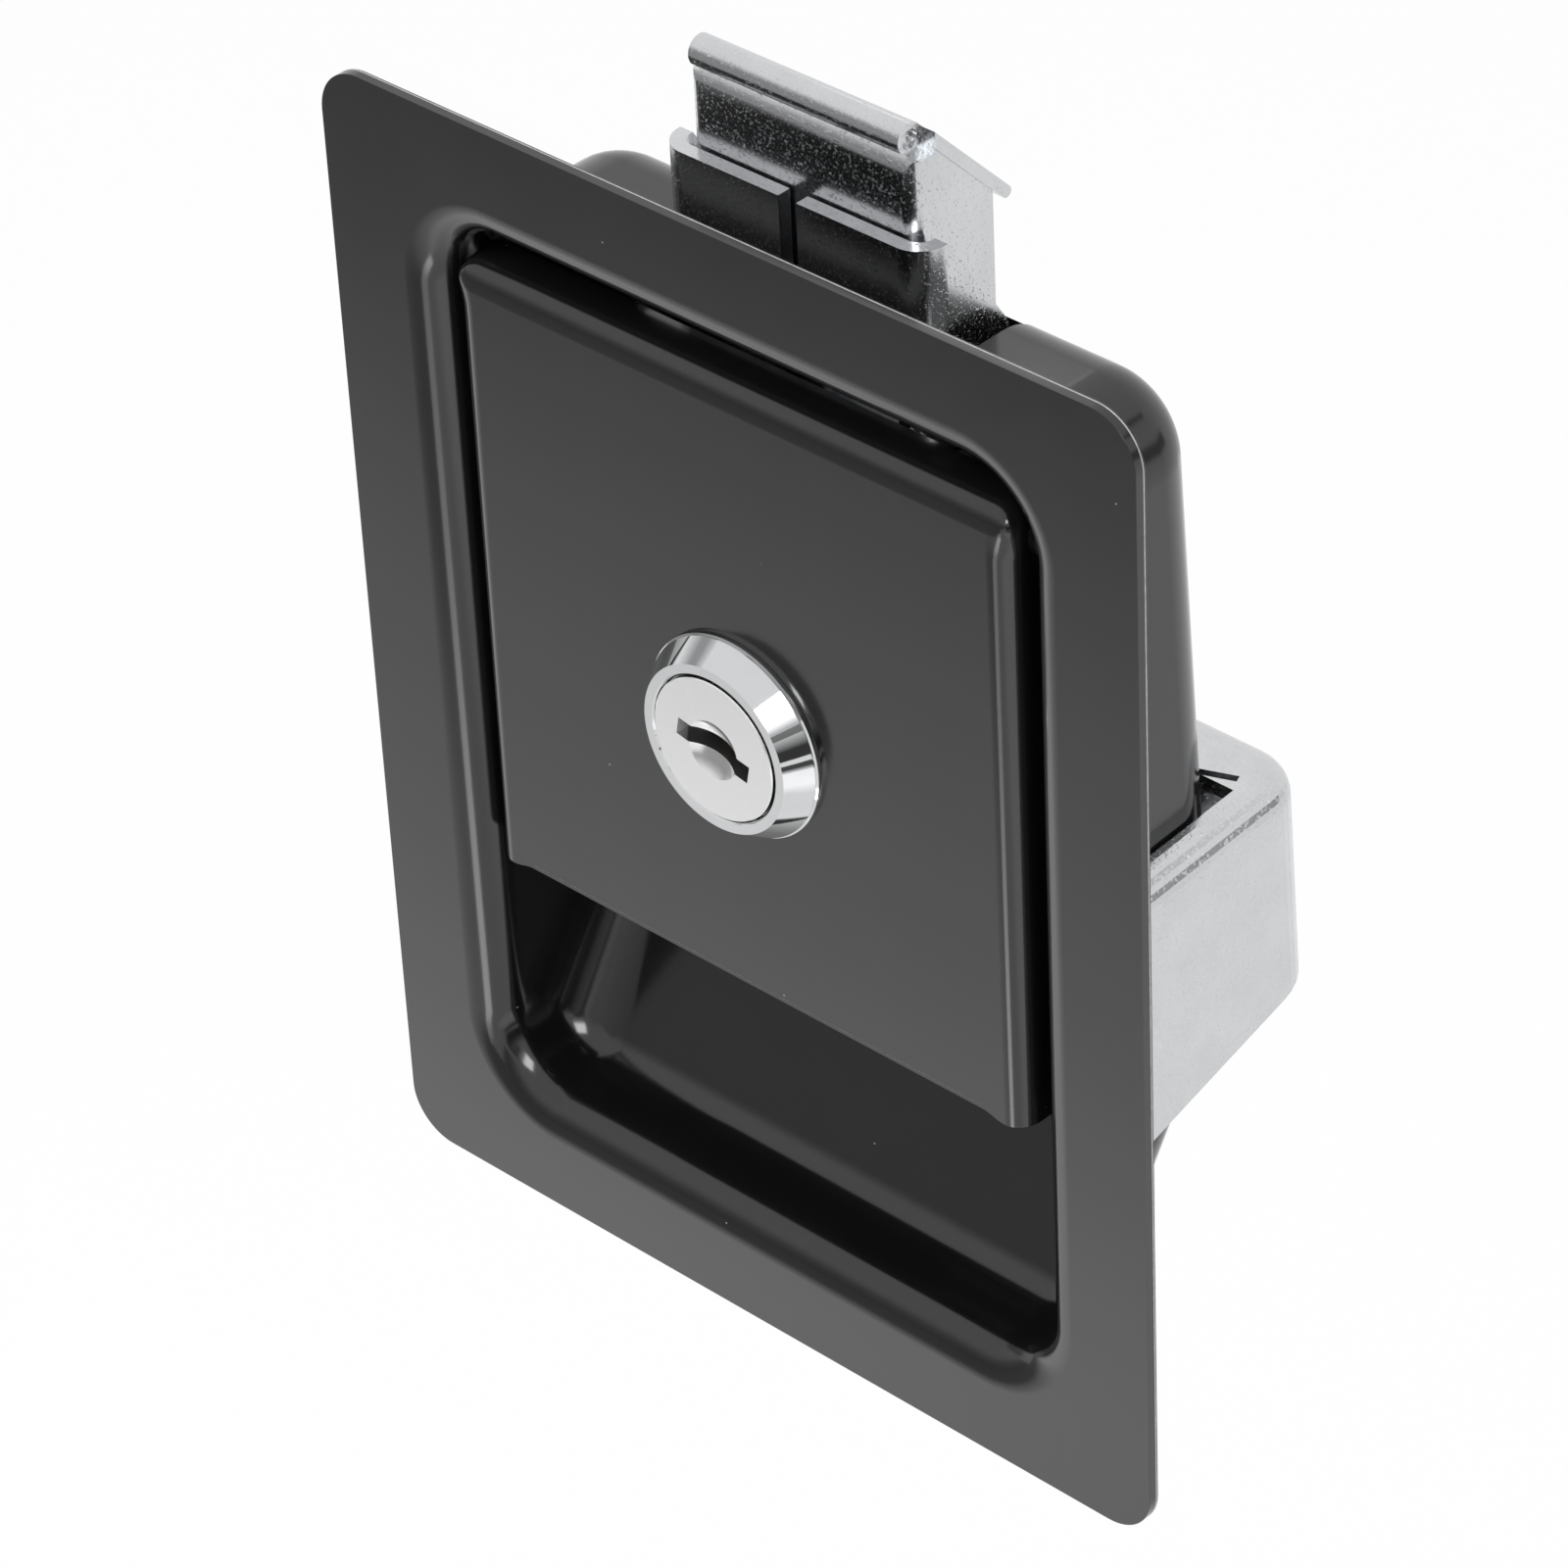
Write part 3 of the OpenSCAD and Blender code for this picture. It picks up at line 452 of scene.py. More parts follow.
def pan_skin():
    bm = bmesh.new()
    corner_x, corner_z = HALF_W - CORNER_R, HALF_H - CORNER_R
    ring_r = CORNER_R - BACK_R
    ring_y = ((PAN_DEPTH * math.cos(LEAN) - BACK_R - (ring_r + corner_z) * math.sin(LEAN))
              / math.cos(LEAN))
    knee_y, knee_z = knee()
    points = [(x, LIP_DEPTH, z) for x, z in rounded_loop(corner_x, corner_z, CORNER_R)]
    for first, sx, sz in ((0, 1, 1), (90, -1, 1), (180, -1, -1), (270, 1, -1)):
        y = ring_y if sz > 0 else SCOOP_FOOT
        points += ring_points(sx * corner_x, y, sz * corner_z, ring_r, BACK_R, first)
    for sx in (-1, 1):
        points += ball_points(sx * (HALF_W - BACK_R), knee_y, knee_z, BACK_R)
    for p in points:
        bm.verts.new(p)
    bmesh.ops.remove_doubles(bm, verts=bm.verts, dist=1e-4)
    hull = bmesh.ops.convex_hull(bm, input=bm.verts)
    loose = {e for key in ("geom_interior", "geom_unused") for e in hull[key]
             if isinstance(e, bmesh.types.BMVert)}
    bmesh.ops.delete(bm, geom=list(loose), context="VERTS")
    mouth = [f for f in bm.faces if all(abs(v.co.y - LIP_DEPTH) < 1e-4 for v in f.verts)]
    bmesh.ops.delete(bm, geom=mouth, context="FACES_ONLY")
    bmesh.ops.dissolve_limit(bm, angle_limit=math.radians(0.4), verts=bm.verts, edges=bm.edges)
    loops = []
    for i in range(BEND_STEPS + 1):
        t = math.pi / 2 * i / BEND_STEPS
        outline = rounded_loop(corner_x, corner_z, CORNER_R + LIP_R * (1 - math.sin(t)))
        loops.append([bm.verts.new((x, LIP_DEPTH - LIP_R * math.cos(t), z)) for x, z in outline])
    border = rounded_loop(FLANGE_W / 2 - FLANGE_R, FLANGE_H / 2 - FLANGE_R, FLANGE_R)
    loops.insert(0, [bm.verts.new((x, -SHEET, z)) for x, z in border])
    count = len(border)
    for first, second in zip(loops, loops[1:]):
        for i in range(count):
            j = (i + 1) % count
            bm.faces.new((first[i], first[j], second[j], second[i]))
    bmesh.ops.remove_doubles(bm, verts=bm.verts, dist=2e-3)
    bmesh.ops.recalc_face_normals(bm, faces=bm.faces)
    flange = next(f for f in bm.faces if all(abs(v.co.y + SHEET) < 1e-4 for v in f.verts))
    if flange.normal.y > 0:
        bmesh.ops.reverse_faces(bm, faces=bm.faces)
    return bm


def thicken(bm, thickness):
    """Gives a skin its sheet thickness, away from the side that its faces look to."""
    mesh = bpy.data.meshes.new("scratch")
    bm.to_mesh(mesh)
    bm.free()
    obj = bpy.data.objects.new("scratch", mesh)
    scene.collection.objects.link(obj)
    step = obj.modifiers.new("sheet", "SOLIDIFY")
    step.thickness = thickness
    step.offset = -1
    step.use_even_offset = True
    step.use_quality_normals = True
    result = bmesh.new()
    result.from_object(obj, bpy.context.evaluated_depsgraph_get())
    bpy.data.objects.remove(obj)
    bpy.data.meshes.remove(mesh)
    return result


pan_mesh = thicken(pan_skin(), SHEET)
WAY_HALF, WAY_R = GUIDE_W / 2 + 2.1, 1.2
way_x, way_y0, way_y1 = WAY_HALF - WAY_R, GUIDE_FRONT - 2 + WAY_R, BOLT_BACK + 0.4 - WAY_R
way = [(x, y) for sx, y, a in ((1, way_y1, 0), (-1, way_y1, 90), (-1, way_y0, 180), (1, way_y0, 270))
       for x, y in arc(sx * way_x, y, WAY_R, a, a + 90, 5)]
pan_mesh = combine(pan_mesh, prism(way, HALF_H - CORNER_R, HALF_H + 10, "Z"), "DIFFERENCE")
pan = make("pan_pressing", pan_mesh, enamel, "housing", "pan", edge_mm=0.18)
print("pan faces:", len(pan.data.polygons))

# %% [markdown]
# ## The handle
#
# The handle is a second pressing: a flat face with a short lip folded back along its top and a deep
# flange down each side. The fold lines are soft bends. Its lower corners hang a little below the
# edge between them, where the side flanges run down. It starts as folded flat faces and gets its
# bends from a bevel, which also rounds the two drawn top corners.

# %% Handle pressing
PADDLE_HALF, PADDLE_TOP, PADDLE_FOOT, FACE_Y = 33.0, 45.3, -20.0, -0.8
PADDLE_R, FLANGE_DEPTH, LIP_DEEP, CORNER_DROP = 2.6, 9.5, 5.0, 0.5
HINGE_Z, BARREL_R, LOCK_Z = 41.0, 8.8, 8.3
FLANGE_ROUND = 4.0
HANG_IN, HANG_RUN = 2.2, 2.6      # the hanging corners end this far in, and rise over this run
EAR_FOOT, EAR_OUT = 40.7, 1.35
EDGE_ROUND = 0.42


def paddle_skin():
    bm = bmesh.new()
    low = PADDLE_FOOT - CORNER_DROP
    back = FACE_Y + FLANGE_DEPTH
    hang = [(PADDLE_HALF - HANG_IN - HANG_RUN * t, low + CORNER_DROP * (0.5 - 0.5 * math.cos(math.pi * t)))
            for t in [i / 10 for i in range(11)]]
    face_line = [(PADDLE_HALF, PADDLE_TOP), (PADDLE_HALF, low)] + hang
    face_line += [(-x, z) for x, z in reversed(face_line)]
    face = [bm.verts.new((x, FACE_Y, z)) for x, z in face_line]
    bm.faces.new(face)
    side_line = [(FACE_Y + LIP_DEEP, PADDLE_TOP), (FACE_Y + LIP_DEEP, PADDLE_TOP - 1.6)]
    side_line += [p for p in reversed(arc(back - FLANGE_ROUND, HINGE_Z - 2, FLANGE_ROUND, 0, 72, 8))]
    side_line += [p for p in reversed(arc(back - FLANGE_ROUND, low + FLANGE_ROUND, FLANGE_ROUND, -90, 0, 8))]
    tops = {}
    for sx, top, foot in ((1, face[0], face[1]), (-1, face[-1], face[-2])):
        line = [bm.verts.new((sx * PADDLE_HALF, y, z)) for y, z in side_line]
        tops[sx] = line[0]
        bm.faces.new([top] + line + [foot])
    bm.faces.new((face[0], tops[1], tops[-1], face[-1]))
    bmesh.ops.recalc_face_normals(bm, faces=bm.faces)
    folds = [e for e in bm.edges if len(e.link_faces) == 2]
    bmesh.ops.bevel(bm, geom=folds, offset=PADDLE_R, segments=8, profile=0.5, affect="EDGES",
                    clamp_overlap=False)
    bmesh.ops.recalc_face_normals(bm, faces=bm.faces)
    return bm


def drawn_ears(bm):
    """Lets the drawn top corners stand out sideways at the face, as the draw pulls them.

    Further back they stay in, so that the handle clears the pan's corners when it swings out."""
    for z in [PADDLE_TOP - PADDLE_R - 0.2 - 0.3 * i for i in range(9)]:
        geometry = list(bm.verts) + list(bm.edges) + list(bm.faces)
        bmesh.ops.bisect_plane(bm, geom=geometry, plane_co=(0, 0, z), plane_no=(0, 0, 1), dist=1e-4)
    inside = PADDLE_HALF - PADDLE_R - 0.6
    for v in bm.verts:
        if abs(v.co.x) > inside and v.co.z > EAR_FOOT:
            rise = min(1.0, (v.co.z - EAR_FOOT) / (PADDLE_TOP - EAR_FOOT))
            share = rise ** 1.3 * min(1.0, (abs(v.co.x) - inside) / 1.4)
            share *= 1 - 0.7 * min(1.0, max(0.0, v.co.y + 0.4))
            v.co.x += math.copysign(EAR_OUT * share, v.co.x)


skin = paddle_skin()
drawn_ears(skin)
front = min(skin.faces, key=lambda f: f.calc_center_median().y)
if front.normal.y > 0:
    bmesh.ops.reverse_faces(skin, faces=skin.faces)
paddle_mesh = thicken(skin, SHEET)
paddle_mesh = combine(paddle_mesh, turned([(0, -5), (BARREL_R + 0.06, -5), (BARREL_R + 0.06, 3), (0, 3)],
                                          (0, LOCK_Z), 64, False), "DIFFERENCE")
paddle = make("handle_pressing", paddle_mesh, enamel, "handle", "paddle", edge_mm=EDGE_ROUND)
print("handle faces:", len(paddle.data.polygons))

# %% [markdown]
# ## Painted edge highlights
#
# A fine bright highlight line is painted along the flange's border and along the handle's foot, as a
# strip of pale, part-metal colour that the lamps light. Each is a ribbon of faces that lies a
# hundredth of a millimetre above the paint.

# %% Painted edge highlights
ABOVE = 0.012
FLANGE_LINE = (-0.32, -0.17)      # from and to, along the sheet's thickness
FOOT_HALF = 28


def ribbon(name, first, second, body, closed):
    """A strip of faces between two rows of points in mm."""
    bm = bmesh.new()
    rows = [[bm.verts.new(point) for point in row] for row in (first, second)]
    count = len(first)
    for i in range(count if closed else count - 1):
        j = (i + 1) % count
        bm.faces.new((rows[0][i], rows[0][j], rows[1][j], rows[1][i]))
    return make(name, bm, highlight, body, edge_mm=0)


border = rounded_loop(FLANGE_W / 2 - FLANGE_R, FLANGE_H / 2 - FLANGE_R, FLANGE_R + ABOVE)
rows = [[(x, y, z) for x, z in border] for y in FLANGE_LINE]
ribbon("flange_edge_highlight", *rows, "housing", True)
foot = [(FACE_Y + EDGE_ROUND - y, PADDLE_FOOT + EDGE_ROUND + z)
        for y, z in arc(0, 0, EDGE_ROUND + ABOVE, -2, -44, 1)]
rows = [[(x, y, z) for x in (-FOOT_HALF, FOOT_HALF)] for y, z in foot]
ribbon("handle_edge_highlight", *rows, "handle", False)
print("bare edges: 2 ribbons")

# %% [markdown]
# ## The lock
#
# The lock body is a turned and chromed casting: a polished cone with a thin rim that sits on the
# handle, and a threaded barrel with two flats behind it. The plug in it has a slot for the key, and
# a dished lead-in round the slot that guides the key's tip. A revolve gives the round forms, the
# thread is a helix cut along the barrel, and the slot is cut with booleans.

# %% Lock body
BEZEL_R, BEZEL_FRONT_R, BEZEL_H, PLUG_R = 10.2, 8.5, 3.2, 7.35
BARREL_END, THREAD_PITCH, THREAD_DEPTH = 15.5, 1.0, 0.35
FLAT_HALF, BORE_PLAY = 8.1, 0.06


def threaded_barrel(radius, bore, y0, y1, pitch, depth, steps=72):
    """A tube along Y with a helical thread on its outside."""
    bm = bmesh.new()
    rows = int((y1 - y0) / (pitch / 6))
    rings = []
    for i in range(rows + 1):
        y = y0 + (y1 - y0) * i / rows
        ring = []
        for j in range(steps):
            turn = ((y - y0) / pitch + j / steps) % 1
            valley = 1 - abs(2 * turn - 1)
            r = radius - depth * valley
            a = 2 * math.pi * j / steps
            ring.append(bm.verts.new((r * math.cos(a), y, LOCK_Z + r * math.sin(a))))
        rings.append(ring)
    for y in (y1, y0):
        rings.append([bm.verts.new((bore * math.cos(2 * math.pi * j / steps), y,
                                    LOCK_Z + bore * math.sin(2 * math.pi * j / steps)))
                      for j in range(steps)])
    for first, second in zip(rings, rings[1:] + rings[:1]):
        for j in range(steps):
            k = (j + 1) % steps
            bm.faces.new((first[j], first[k], second[k], second[j]))
    bmesh.ops.recalc_face_normals(bm, faces=bm.faces)
    return bm


bore_r = PLUG_R + BORE_PLAY
barrel = threaded_barrel(BARREL_R, bore_r, FACE_Y - 0.4, BARREL_END, THREAD_PITCH, THREAD_DEPTH)
flats = box_solid((-20, -5, LOCK_Z - FLAT_HALF), (20, 30, LOCK_Z + FLAT_HALF))
barrel = combine(barrel, flats, "INTERSECT")
cone_front = FACE_Y - BEZEL_H
cone = turned([(bore_r, FACE_Y), (BEZEL_R, FACE_Y), (BEZEL_R + 0.05, FACE_Y - 0.1),
               (BEZEL_R + 0.05, FACE_Y - 0.5), (BEZEL_R - 0.15, FACE_Y - 0.62),
               (BEZEL_R - 0.12, FACE_Y - 0.78), (BEZEL_FRONT_R, cone_front),
               (PLUG_R + 0.22, cone_front), (bore_r, cone_front + 0.16)],
              (0, LOCK_Z), 128)
body_mesh = combine(cone, barrel, "UNION")
lock_body = make("lock_body_chromed", body_mesh, chrome, "handle", "lock_body", edge_mm=0)

# %% Lock plug
KEY_L, KEY_W, KEY_TILT = 8.7, 1.9, math.radians(11)
DISH_R, DISH_DEPTH = 3.0, 1.1
POCKET_HALF, POCKET_DEPTH = 5.5, 1.57
PLUG_FRONT = cone_front - 0.1
CAM_Y, CAM_T, SQUARE = 15.6, 1.5, 5.0


def tilted(bm):
    """Turns a mesh about the lock axis by the tilt of the keyway."""
    turn = (Matrix.Translation((0, 0, LOCK_Z)) @ Matrix.Rotation(KEY_TILT, 4, "Y")
            @ Matrix.Translation((0, 0, -LOCK_Z)))
    bmesh.ops.transform(bm, matrix=turn, verts=bm.verts)
    return bm


plug_mesh = turned([(0, PLUG_FRONT), (PLUG_R - 0.24, PLUG_FRONT), (PLUG_R - 0.14, PLUG_FRONT + 0.1),
                    (PLUG_R - 0.14, PLUG_FRONT + 0.9), (PLUG_R, PLUG_FRONT + 1.04), (PLUG_R, CAM_Y),
                    (0, CAM_Y)], (0, LOCK_Z), 128, False)
dish_ball = (DISH_R ** 2 + DISH_DEPTH ** 2) / (2 * DISH_DEPTH)
dish_angle = math.asin(DISH_R / dish_ball)
dish = turned([(dish_ball * math.sin(a), PLUG_FRONT + DISH_DEPTH - dish_ball * (1 - math.cos(a)))
               for a in [dish_angle * i / 16 for i in range(17)]]
              + [(DISH_R, PLUG_FRONT - 1), (0, PLUG_FRONT - 1)], (0, LOCK_Z), 96, False)
plug_mesh = combine(plug_mesh, dish, "DIFFERENCE")
for half_l, depth in ((KEY_L / 2, 14), (POCKET_HALF, 4.5)):
    front_y = PLUG_FRONT - 1 if half_l < POCKET_HALF else PLUG_FRONT + POCKET_DEPTH
    slot = tilted(box_solid((-half_l, front_y, LOCK_Z - KEY_W / 2),
                            (half_l, PLUG_FRONT + depth, LOCK_Z + KEY_W / 2)))
    plug_mesh = combine(plug_mesh, slot, "DIFFERENCE")
square = box_solid((-SQUARE / 2, CAM_Y - 1, LOCK_Z - SQUARE / 2),
                   (SQUARE / 2, CAM_Y + CAM_T, LOCK_Z + SQUARE / 2))
plug_mesh = combine(plug_mesh, square, "UNION")
plug = make("lock_plug_satin", plug_mesh, nickel, "key_plug", "lock_plug", edge_mm=0)
# Thin plates of the slot-end colour on the keyway's end walls paint the slot's bright end faces.
for sx in (-1, 1):
    wall = sorted((sx * (KEY_L / 2 - 0.04), sx * (KEY_L / 2 + 0.3)))
    end = tilted(box_solid((wall[0], PLUG_FRONT + 0.12, LOCK_Z - KEY_W / 2 + 0.03),
                           (wall[1], PLUG_FRONT + POCKET_DEPTH - 0.05, LOCK_Z + KEY_W / 2 - 0.03)))
    make("keyway_end_" + ("left" if sx < 0 else "right"), end, slot_end_highlight, "key_plug", edge_mm=0)

# %% [markdown]
# ## The slam bolt
#
# The bolt is a plated channel. Its front leans back a little near the top, and there the ramp's sheet
# rolls over it into a round nose, which gives the fine dark crease under the bright edge. The roll
# stops short of the sides at a small notch, and the ramp lies on the two sides like a lid. The
# channel is an outline in plan, cut to its side view with a boolean, and the nose is a round bar
# joined to the lid.

# %% Slam bolt
BOLT_HALF, BOLT_FRONT, BOLT_SHEET, BOLT_FOOT = 13.1, 10.5, 1.5, 26.6
SHANK_BACK, HEAD_Z, SEAT_Z = 19.0, 47.1, 47.0
NOSE_Y, NOSE_Z, NOSE_R, RAMP_TURN, RAMP_T = 11.35, 68.45, 1.5, math.radians(45.9), 1.15
ROLL_HALF = BOLT_HALF - 0.95
LEAN_FOOT, LEAN_R = 64.9, 3.0
OUTER_R, INNER_R = 1.4, 0.3       # the channel's corners
SLOPE_START, LID_PAST = 0.9, 0.9  # where the sides' slope starts behind the roll, and the lid's overhang
END_HOLE_R = 0.95
PIN_Y, PIN_Z, PIN_R = 15.5, 38.0, 2.0


def channel_plan(half, front, corner, back):
    """Outline in plan of one face of the channel, from its right end round the front to the left."""
    right = [(half, back)] + arc(half - corner, front + corner, corner, -90, 0, 8)[::-1]
    return right + [(-x, y) for x, y in reversed(right)]


def bolt_channel():
    outer = channel_plan(BOLT_HALF, BOLT_FRONT, OUTER_R, BOLT_BACK)
    inner = channel_plan(BOLT_HALF - BOLT_SHEET, BOLT_FRONT + BOLT_SHEET, INNER_R, BOLT_BACK)
    channel = prism(outer + inner[::-1], BOLT_FOOT, NOSE_Z, "Z")
    front = [(BOLT_FRONT + LEAN_R * (1 - math.cos(a)), LEAN_FOOT + LEAN_R * math.sin(a))
             for a in [math.radians(5 * i) for i in range(10)]]
    slope_y = NOSE_Y + SLOPE_START
    side = [(BOLT_FRONT, BOLT_FOOT)] + front + [
        (slope_y, NOSE_Z - 0.1), (BOLT_BACK, NOSE_Z - 0.1 - (BOLT_BACK - slope_y) * math.tan(RAMP_TURN)),
        (BOLT_BACK, HEAD_Z), (SHANK_BACK, HEAD_Z - 1.5), (SHANK_BACK, BOLT_FOOT)]
    return combine(channel, prism(side, -20, 20, "X"), "INTERSECT")


def bolt_nose():
    """Rolled nose and ramp: a round bar, and a lid that leaves it at a tangent and ends round."""
    along = Vector((math.cos(RAMP_TURN), -math.sin(RAMP_TURN)))
    out = Vector((math.sin(RAMP_TURN), math.cos(RAMP_TURN)))
    centre = Vector((NOSE_Y, NOSE_Z))
    length = (BOLT_BACK + LID_PAST - NOSE_Y) / math.cos(RAMP_TURN)
    half = BOLT_HALF + 0.2
    lid = [centre + out * (NOSE_R - RAMP_T)]
    for i in range(9):
        a = math.pi * (i / 8 - 0.5)
        lid.append(centre + along * (length + RAMP_T / 2 * math.cos(a))
                   + out * (NOSE_R - RAMP_T / 2 * (1 - math.sin(a))))
    lid.append(centre + out * NOSE_R)
    roll = prism(arc(NOSE_Y, NOSE_Z, NOSE_R, 0, 352.5, 47), -ROLL_HALF, ROLL_HALF, "X")
    nose = combine(roll, prism([tuple(p) for p in lid], -half, half, "X"), "UNION")
    for sx in (-1, 1):
        ends = sorted((sx * (ROLL_HALF - 0.5), sx * (ROLL_HALF + 1)))
        hole = arc(NOSE_Y - 0.05, NOSE_Z - 0.05, END_HOLE_R, 0, 345, 23)
        nose = combine(nose, prism(hole, *ends, "X"), "DIFFERENCE")
    return nose


bolt_mesh = combine(bolt_channel(), bolt_nose(), "UNION")
for sx in (-1, 1):
    ends = sorted((sx * ROLL_HALF, sx * (BOLT_HALF + 1)))
    notch = box_solid((ends[0], BOLT_FRONT - 2, NOSE_Z - 1.95), (ends[1], NOSE_Y + 1.9, NOSE_Z + 5))
    bolt_mesh = combine(bolt_mesh, notch, "DIFFERENCE")
seat = box_solid((-BOLT_HALF + 1, BOLT_FRONT + 1, SEAT_Z), (BOLT_HALF - 1, SHANK_BACK, SEAT_Z + BOLT_SHEET))
bolt_mesh = combine(bolt_mesh, seat, "UNION")
pin_hole = prism(arc(PIN_Y, PIN_Z, PIN_R + 0.02, 0, 345, 23), -20, 20, "X")
bolt_mesh = combine(bolt_mesh, pin_hole, "DIFFERENCE")
bolt = make("slam_bolt_pressing", bolt_mesh, zinc, "bolt", "latch_bolt", edge_mm=0.1)
print("bolt faces:", len(bolt.data.polygons))

# %% [markdown]
# ## Carried-over hardware
#
# Guide, clamp, lever, keeper, pins, rivets, washers, nuts, screw, cam and spring have their
# right shape already. They keep their solids and take the finish of the part that they are; all but
# the spring also get softened edges.

# %% Finishes for the kept solids
KEPT = {
    zinc: ["bolt_guide", "clamp_bracket", "lock_keeper", "paddle_lever"],
    hardware: ["guide_rivets", "keeper_rivets", "hinge_pin", "hinge_clips", "clamp_studs", "clamp_washers",
               "clamp_nuts", "bolt_pins", "lock_washer", "lock_nut", "lock_cam", "cam_washer", "cam_screw"],
    wire: ["bolt_spring"],
    brass: ["lock_wafers"],
    nylon: ["hinge_bushes"],
}
for material, names in KEPT.items():
    for name in names:
        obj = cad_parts[name]
        obj.data.materials.clear()
        obj.data.materials.append(material)
        if name != "bolt_spring":
            soften(obj, 0.12)

# %% [markdown]
# ## Studio
#
# A plain pale floor and a white room. Three soft lamps at a plain level model the forms. Gloss sees
# other things than the lamps: black paint and chrome are read by what they mirror, so a few cards
# stand round the set that only mirrored rays meet, as a product photographer would place them. The
# table in front falls off into a dark room with a doorway of light, a strip of window light lies
# across it, and dark and bright flags to the right draw the bands on the polished cone. The dark
# end of the room behind the set draws the fold of the clamp.

# %% World, floor and lamps
FLOOR_Z = -0.22


def studio_world(day, white):
    """White for the camera and for reflections, and a softer level for the light that it gives."""
    world = bpy.data.worlds.new("studio")
    scene.world = world
    world.use_nodes = True
    tree = world.node_tree
    tree.nodes.clear()
    path = add(tree, "ShaderNodeLightPath")
    seen = add(tree, "ShaderNodeMath", {0: path.outputs["Is Camera Ray"], 1: path.outputs["Is Glossy Ray"]},
               operation="MAXIMUM")
    seen = add(tree, "ShaderNodeMath", {0: seen.outputs[0], 1: path.outputs["Is Transmission Ray"]},
               operation="MAXIMUM")
    strength = add(tree, "ShaderNodeMapRange", {"Value": seen.outputs[0], "To Min": day, "To Max": white})
    light = add(tree, "ShaderNodeBackground", {"Color": (1, 1, 1, 1), "Strength": strength.outputs[0]})
    add(tree, "ShaderNodeOutputWorld", {"Surface": light.outputs[0]})


def stage_piece(name, corners, material):
    """A flat piece of the set, through corners in metres."""
    bm = bmesh.new()
    bm.faces.new([bm.verts.new(c) for c in corners])
    mesh = bpy.data.meshes.new(name)
    bm.to_mesh(mesh)
    bm.free()
    obj = bpy.data.objects.new(name, mesh)
    scene.collection.objects.link(obj)
    mesh.materials.append(material)
    return obj


def studio_floor():
    """A large pale disc that looks white to the camera and still takes the object's shadow."""
    material = bpy.data.materials.new("pale_studio_floor")
    material.use_nodes = True
    tree = material.node_tree
    tree.nodes.clear()
    path = add(tree, "ShaderNodeLightPath")
    seen = add(tree, "ShaderNodeMath", {0: path.outputs["Is Camera Ray"], 1: path.outputs["Is Glossy Ray"]},
               operation="MAXIMUM")
    share = add(tree, "ShaderNodeMath", {0: seen.outputs[0], 1: 0.88}, operation="MULTIPLY")
    paper = add(tree, "ShaderNodeBsdfDiffuse", {"Color": linear("#f4f4f4")})
    glow = add(tree, "ShaderNodeEmission", {"Color": (1, 1, 1, 1), "Strength": 1.0})
    mixed = add(tree, "ShaderNodeMixShader", {0: share.outputs[0], 1: paper.outputs[0], 2: glow.outputs[0]})
    add(tree, "ShaderNodeOutputMaterial", {"Surface": mixed.outputs[0]})
    stage_piece("floor", [(x, z, FLOOR_Z) for x, z in arc(0, 0, 4.0, 0, 355, 71)], material)


def soft_lamp(name, at, size, watts):
    """A square soft box that looks at the object and that gloss doesn't mirror."""
    data = bpy.data.lights.new(name, "AREA")
    data.shape = "SQUARE"
    data.size = size
    data.energy = watts
    lamp = bpy.data.objects.new(name, data)
    scene.collection.objects.link(lamp)
    lamp.location = at
    lamp.rotation_euler = (-Vector(at)).to_track_quat("-Z", "Y").to_euler()
    lamp.visible_glossy = False


studio_world(0.55, 1.0)
studio_floor()
soft_lamp("key_lamp", (-0.7, -0.9, 1.0), 0.5, 9)
soft_lamp("fill_lamp", (1.1, -0.4, 0.5), 0.6, 4)
soft_lamp("top_lamp", (0.1, 0.5, 1.3), 0.6, 6)

# %% Cards that gloss mirrors
CARD_Z = FLOOR_Z + 0.001


def card(name, corners, along, stops):
    """A glowing card for mirrored rays; stops pairs a distance along a direction with a glow there."""
    material = bpy.data.materials.new(name)
    material.use_nodes = True
    tree = material.node_tree
    tree.nodes.clear()
    place = add(tree, "ShaderNodeTexCoord").outputs["Object"]
    reach = add(tree, "ShaderNodeVectorMath", {0: place, 1: along}, operation="DOT_PRODUCT").outputs["Value"]
    glow = None
    for (low, before), (high, after) in zip(stops, stops[1:]):
        step = ramp(tree, reach, 0.0, after - before, low, high)
        total = add(tree, "ShaderNodeMath", {0: step, 1: before if glow is None else glow}, operation="ADD")
        glow = total.outputs[0]
    light = add(tree, "ShaderNodeEmission", {"Color": (1, 1, 1, 1), "Strength": glow})
    add(tree, "ShaderNodeOutputMaterial", {"Surface": light.outputs[0]})
    obj = stage_piece(name, corners, material)
    obj.visible_camera = False
    obj.visible_diffuse = False
    obj.visible_transmission = False
    obj.visible_shadow = False


def upright(centre, width, height):
    """Corners of an upright card that faces the object."""
    x, y, z = centre
    side = Vector((-y, x, 0)).normalized() * width / 2
    return [(x + i * side.x, y + i * side.y, z + j * height / 2)
            for i, j in ((-1, -1), (1, -1), (1, 1), (-1, 1))]


def level(low, high, z):
    """Corners of a level card between two corners seen from above."""
    (x0, y0), (x1, y1) = low, high
    return [(x0, y0, z), (x1, y0, z), (x1, y1, z), (x0, y1, z)]


X_WAY, Y_WAY, UP = (1, 0, 0), (0, 1, 0), (0, 0, 1)
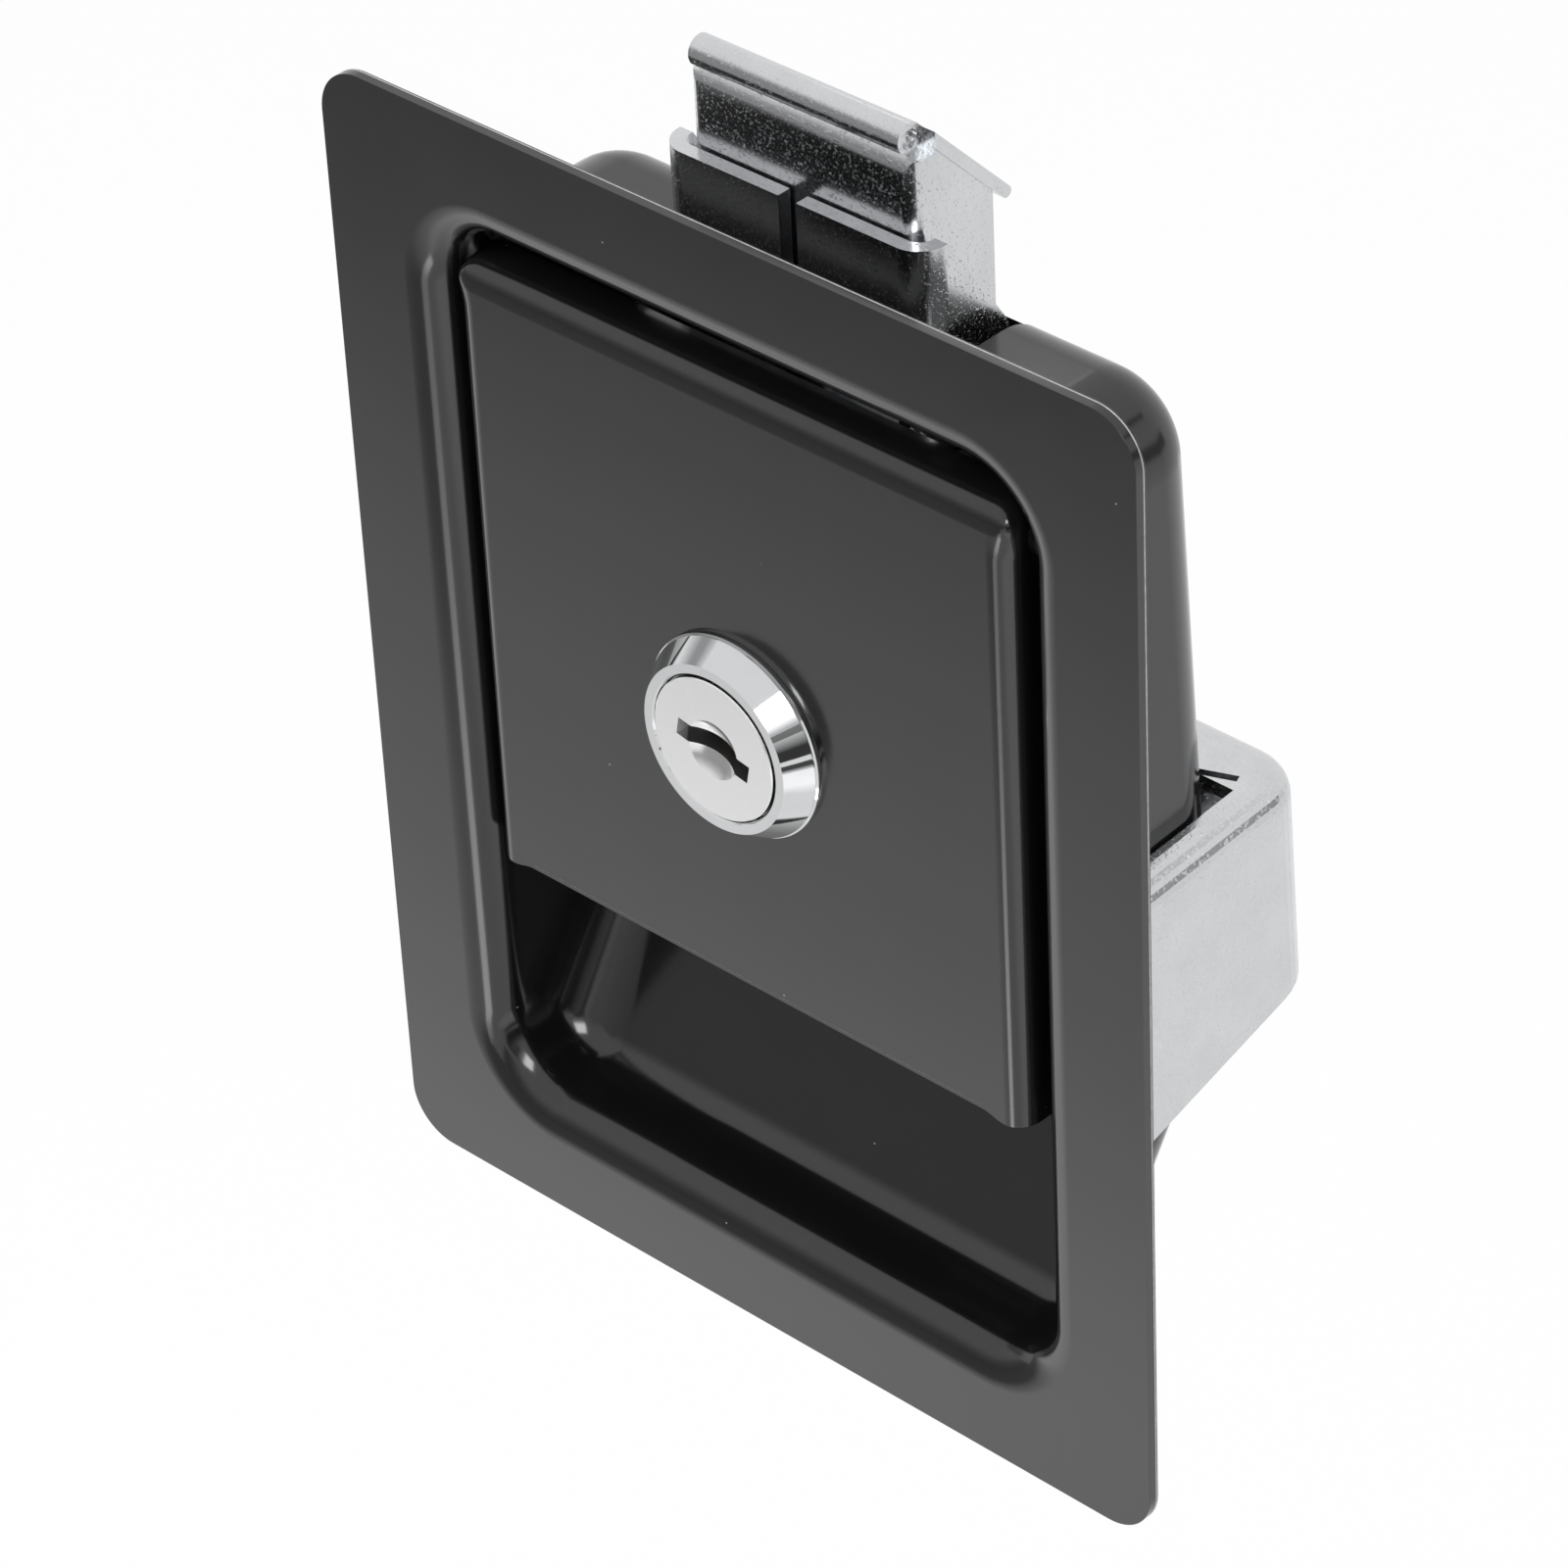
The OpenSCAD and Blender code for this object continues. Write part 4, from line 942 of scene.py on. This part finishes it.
# The table falls off to the front left; the far end is the dark room behind it
table = [(-4, -0.05), (0.0, -0.05), (0.01, -0.20), (0.02, -0.50), (0.6, -4), (-4, -4)]
card("table_falloff", [(x, y, CARD_Z) for x, y in table], (0.2, 1, 0),
     [(-0.46, 0.34), (-0.375, 0.42), (-0.335, 0.66), (-0.296, 0.84), (-0.235, 1.0), (-0.165, 1.44),
      (-0.09, 1.0)])
# A strip of window light across the table
STRIP_Z = CARD_Z + 0.001
strip = [(0.008, -0.19), (0.072, -0.19), (0.12, -0.50), (-0.01, -0.50)]
card("window_strip", [(x, y, STRIP_Z) for x, y in strip], Y_WAY,
     [(-0.40, 1.9), (-0.33, 2.4), (-0.26, 4.0), (-0.20, 4.4)])
# The dark room beyond the table, with a doorway of light in it
card("room_wall", upright((-1.03, -2.82, 0.9), 7.7, 3.0), UP,
     [(-0.4, 0.42), (0.15, 0.28), (0.9, 0.5), (1.7, 0.95), (2.3, 1.0)])
card("room_wall_right", upright((2.68, -2.2, 0.7), 1.41, 1.8), UP, [(0.0, 0.15), (1.4, 0.3)])
# The dark end of the room behind the set, low over the table, draws the clamp's fold
card("room_end", upright((1.215, 0.867, 0.10), 1.3, 0.46), UP,
     [(-0.13, 1.0), (-0.03, 0.3), (0.2, 0.3), (0.33, 1.0)])
# Light table to the right, then two dark flags with a slit between them
card("table_right", level((0.20, -0.40), (0.50, 0.15), CARD_Z), X_WAY,
     [(0.20, 1.0), (0.28, 1.45), (0.50, 1.35)])
card("near_flag", level((0.50, -0.60), (0.78, 0.20), CARD_Z), X_WAY, [(0.50, 0.9), (0.60, 0.08)])
card("far_flag", upright((1.15, -0.50, 0.02), 1.0, 0.48), UP, [(0.0, 0.05), (0.26, 0.7)])
# A bright window beside the camera, and a stand to the upper left
card("camera_window", upright((0.80, -0.58, 0.70), 0.50, 0.75), UP,
     [(0.36, 0.7), (0.52, 2.0), (0.62, 9.5)])
card("light_stand", upright((-0.86, -0.14, 0.49), 0.30, 0.60), Y_WAY,
     [(-0.29, 1.0), (-0.17, 0.42), (-0.11, 0.42), (0.01, 1.0)])
# A small reflector and a small flag over the pan's shoulder
card("shoulder_reflector", level((-0.078, 0.089), (-0.045, 0.114), 0.137), X_WAY,
     [(-0.078, 1.7), (-0.045, 2.2)])
card("shoulder_flag", level((0.100, 0.083), (0.140, 0.115), 0.130), X_WAY,
     [(0.100, 0.6), (0.112, 0.1), (0.130, 0.1), (0.140, 0.6)])
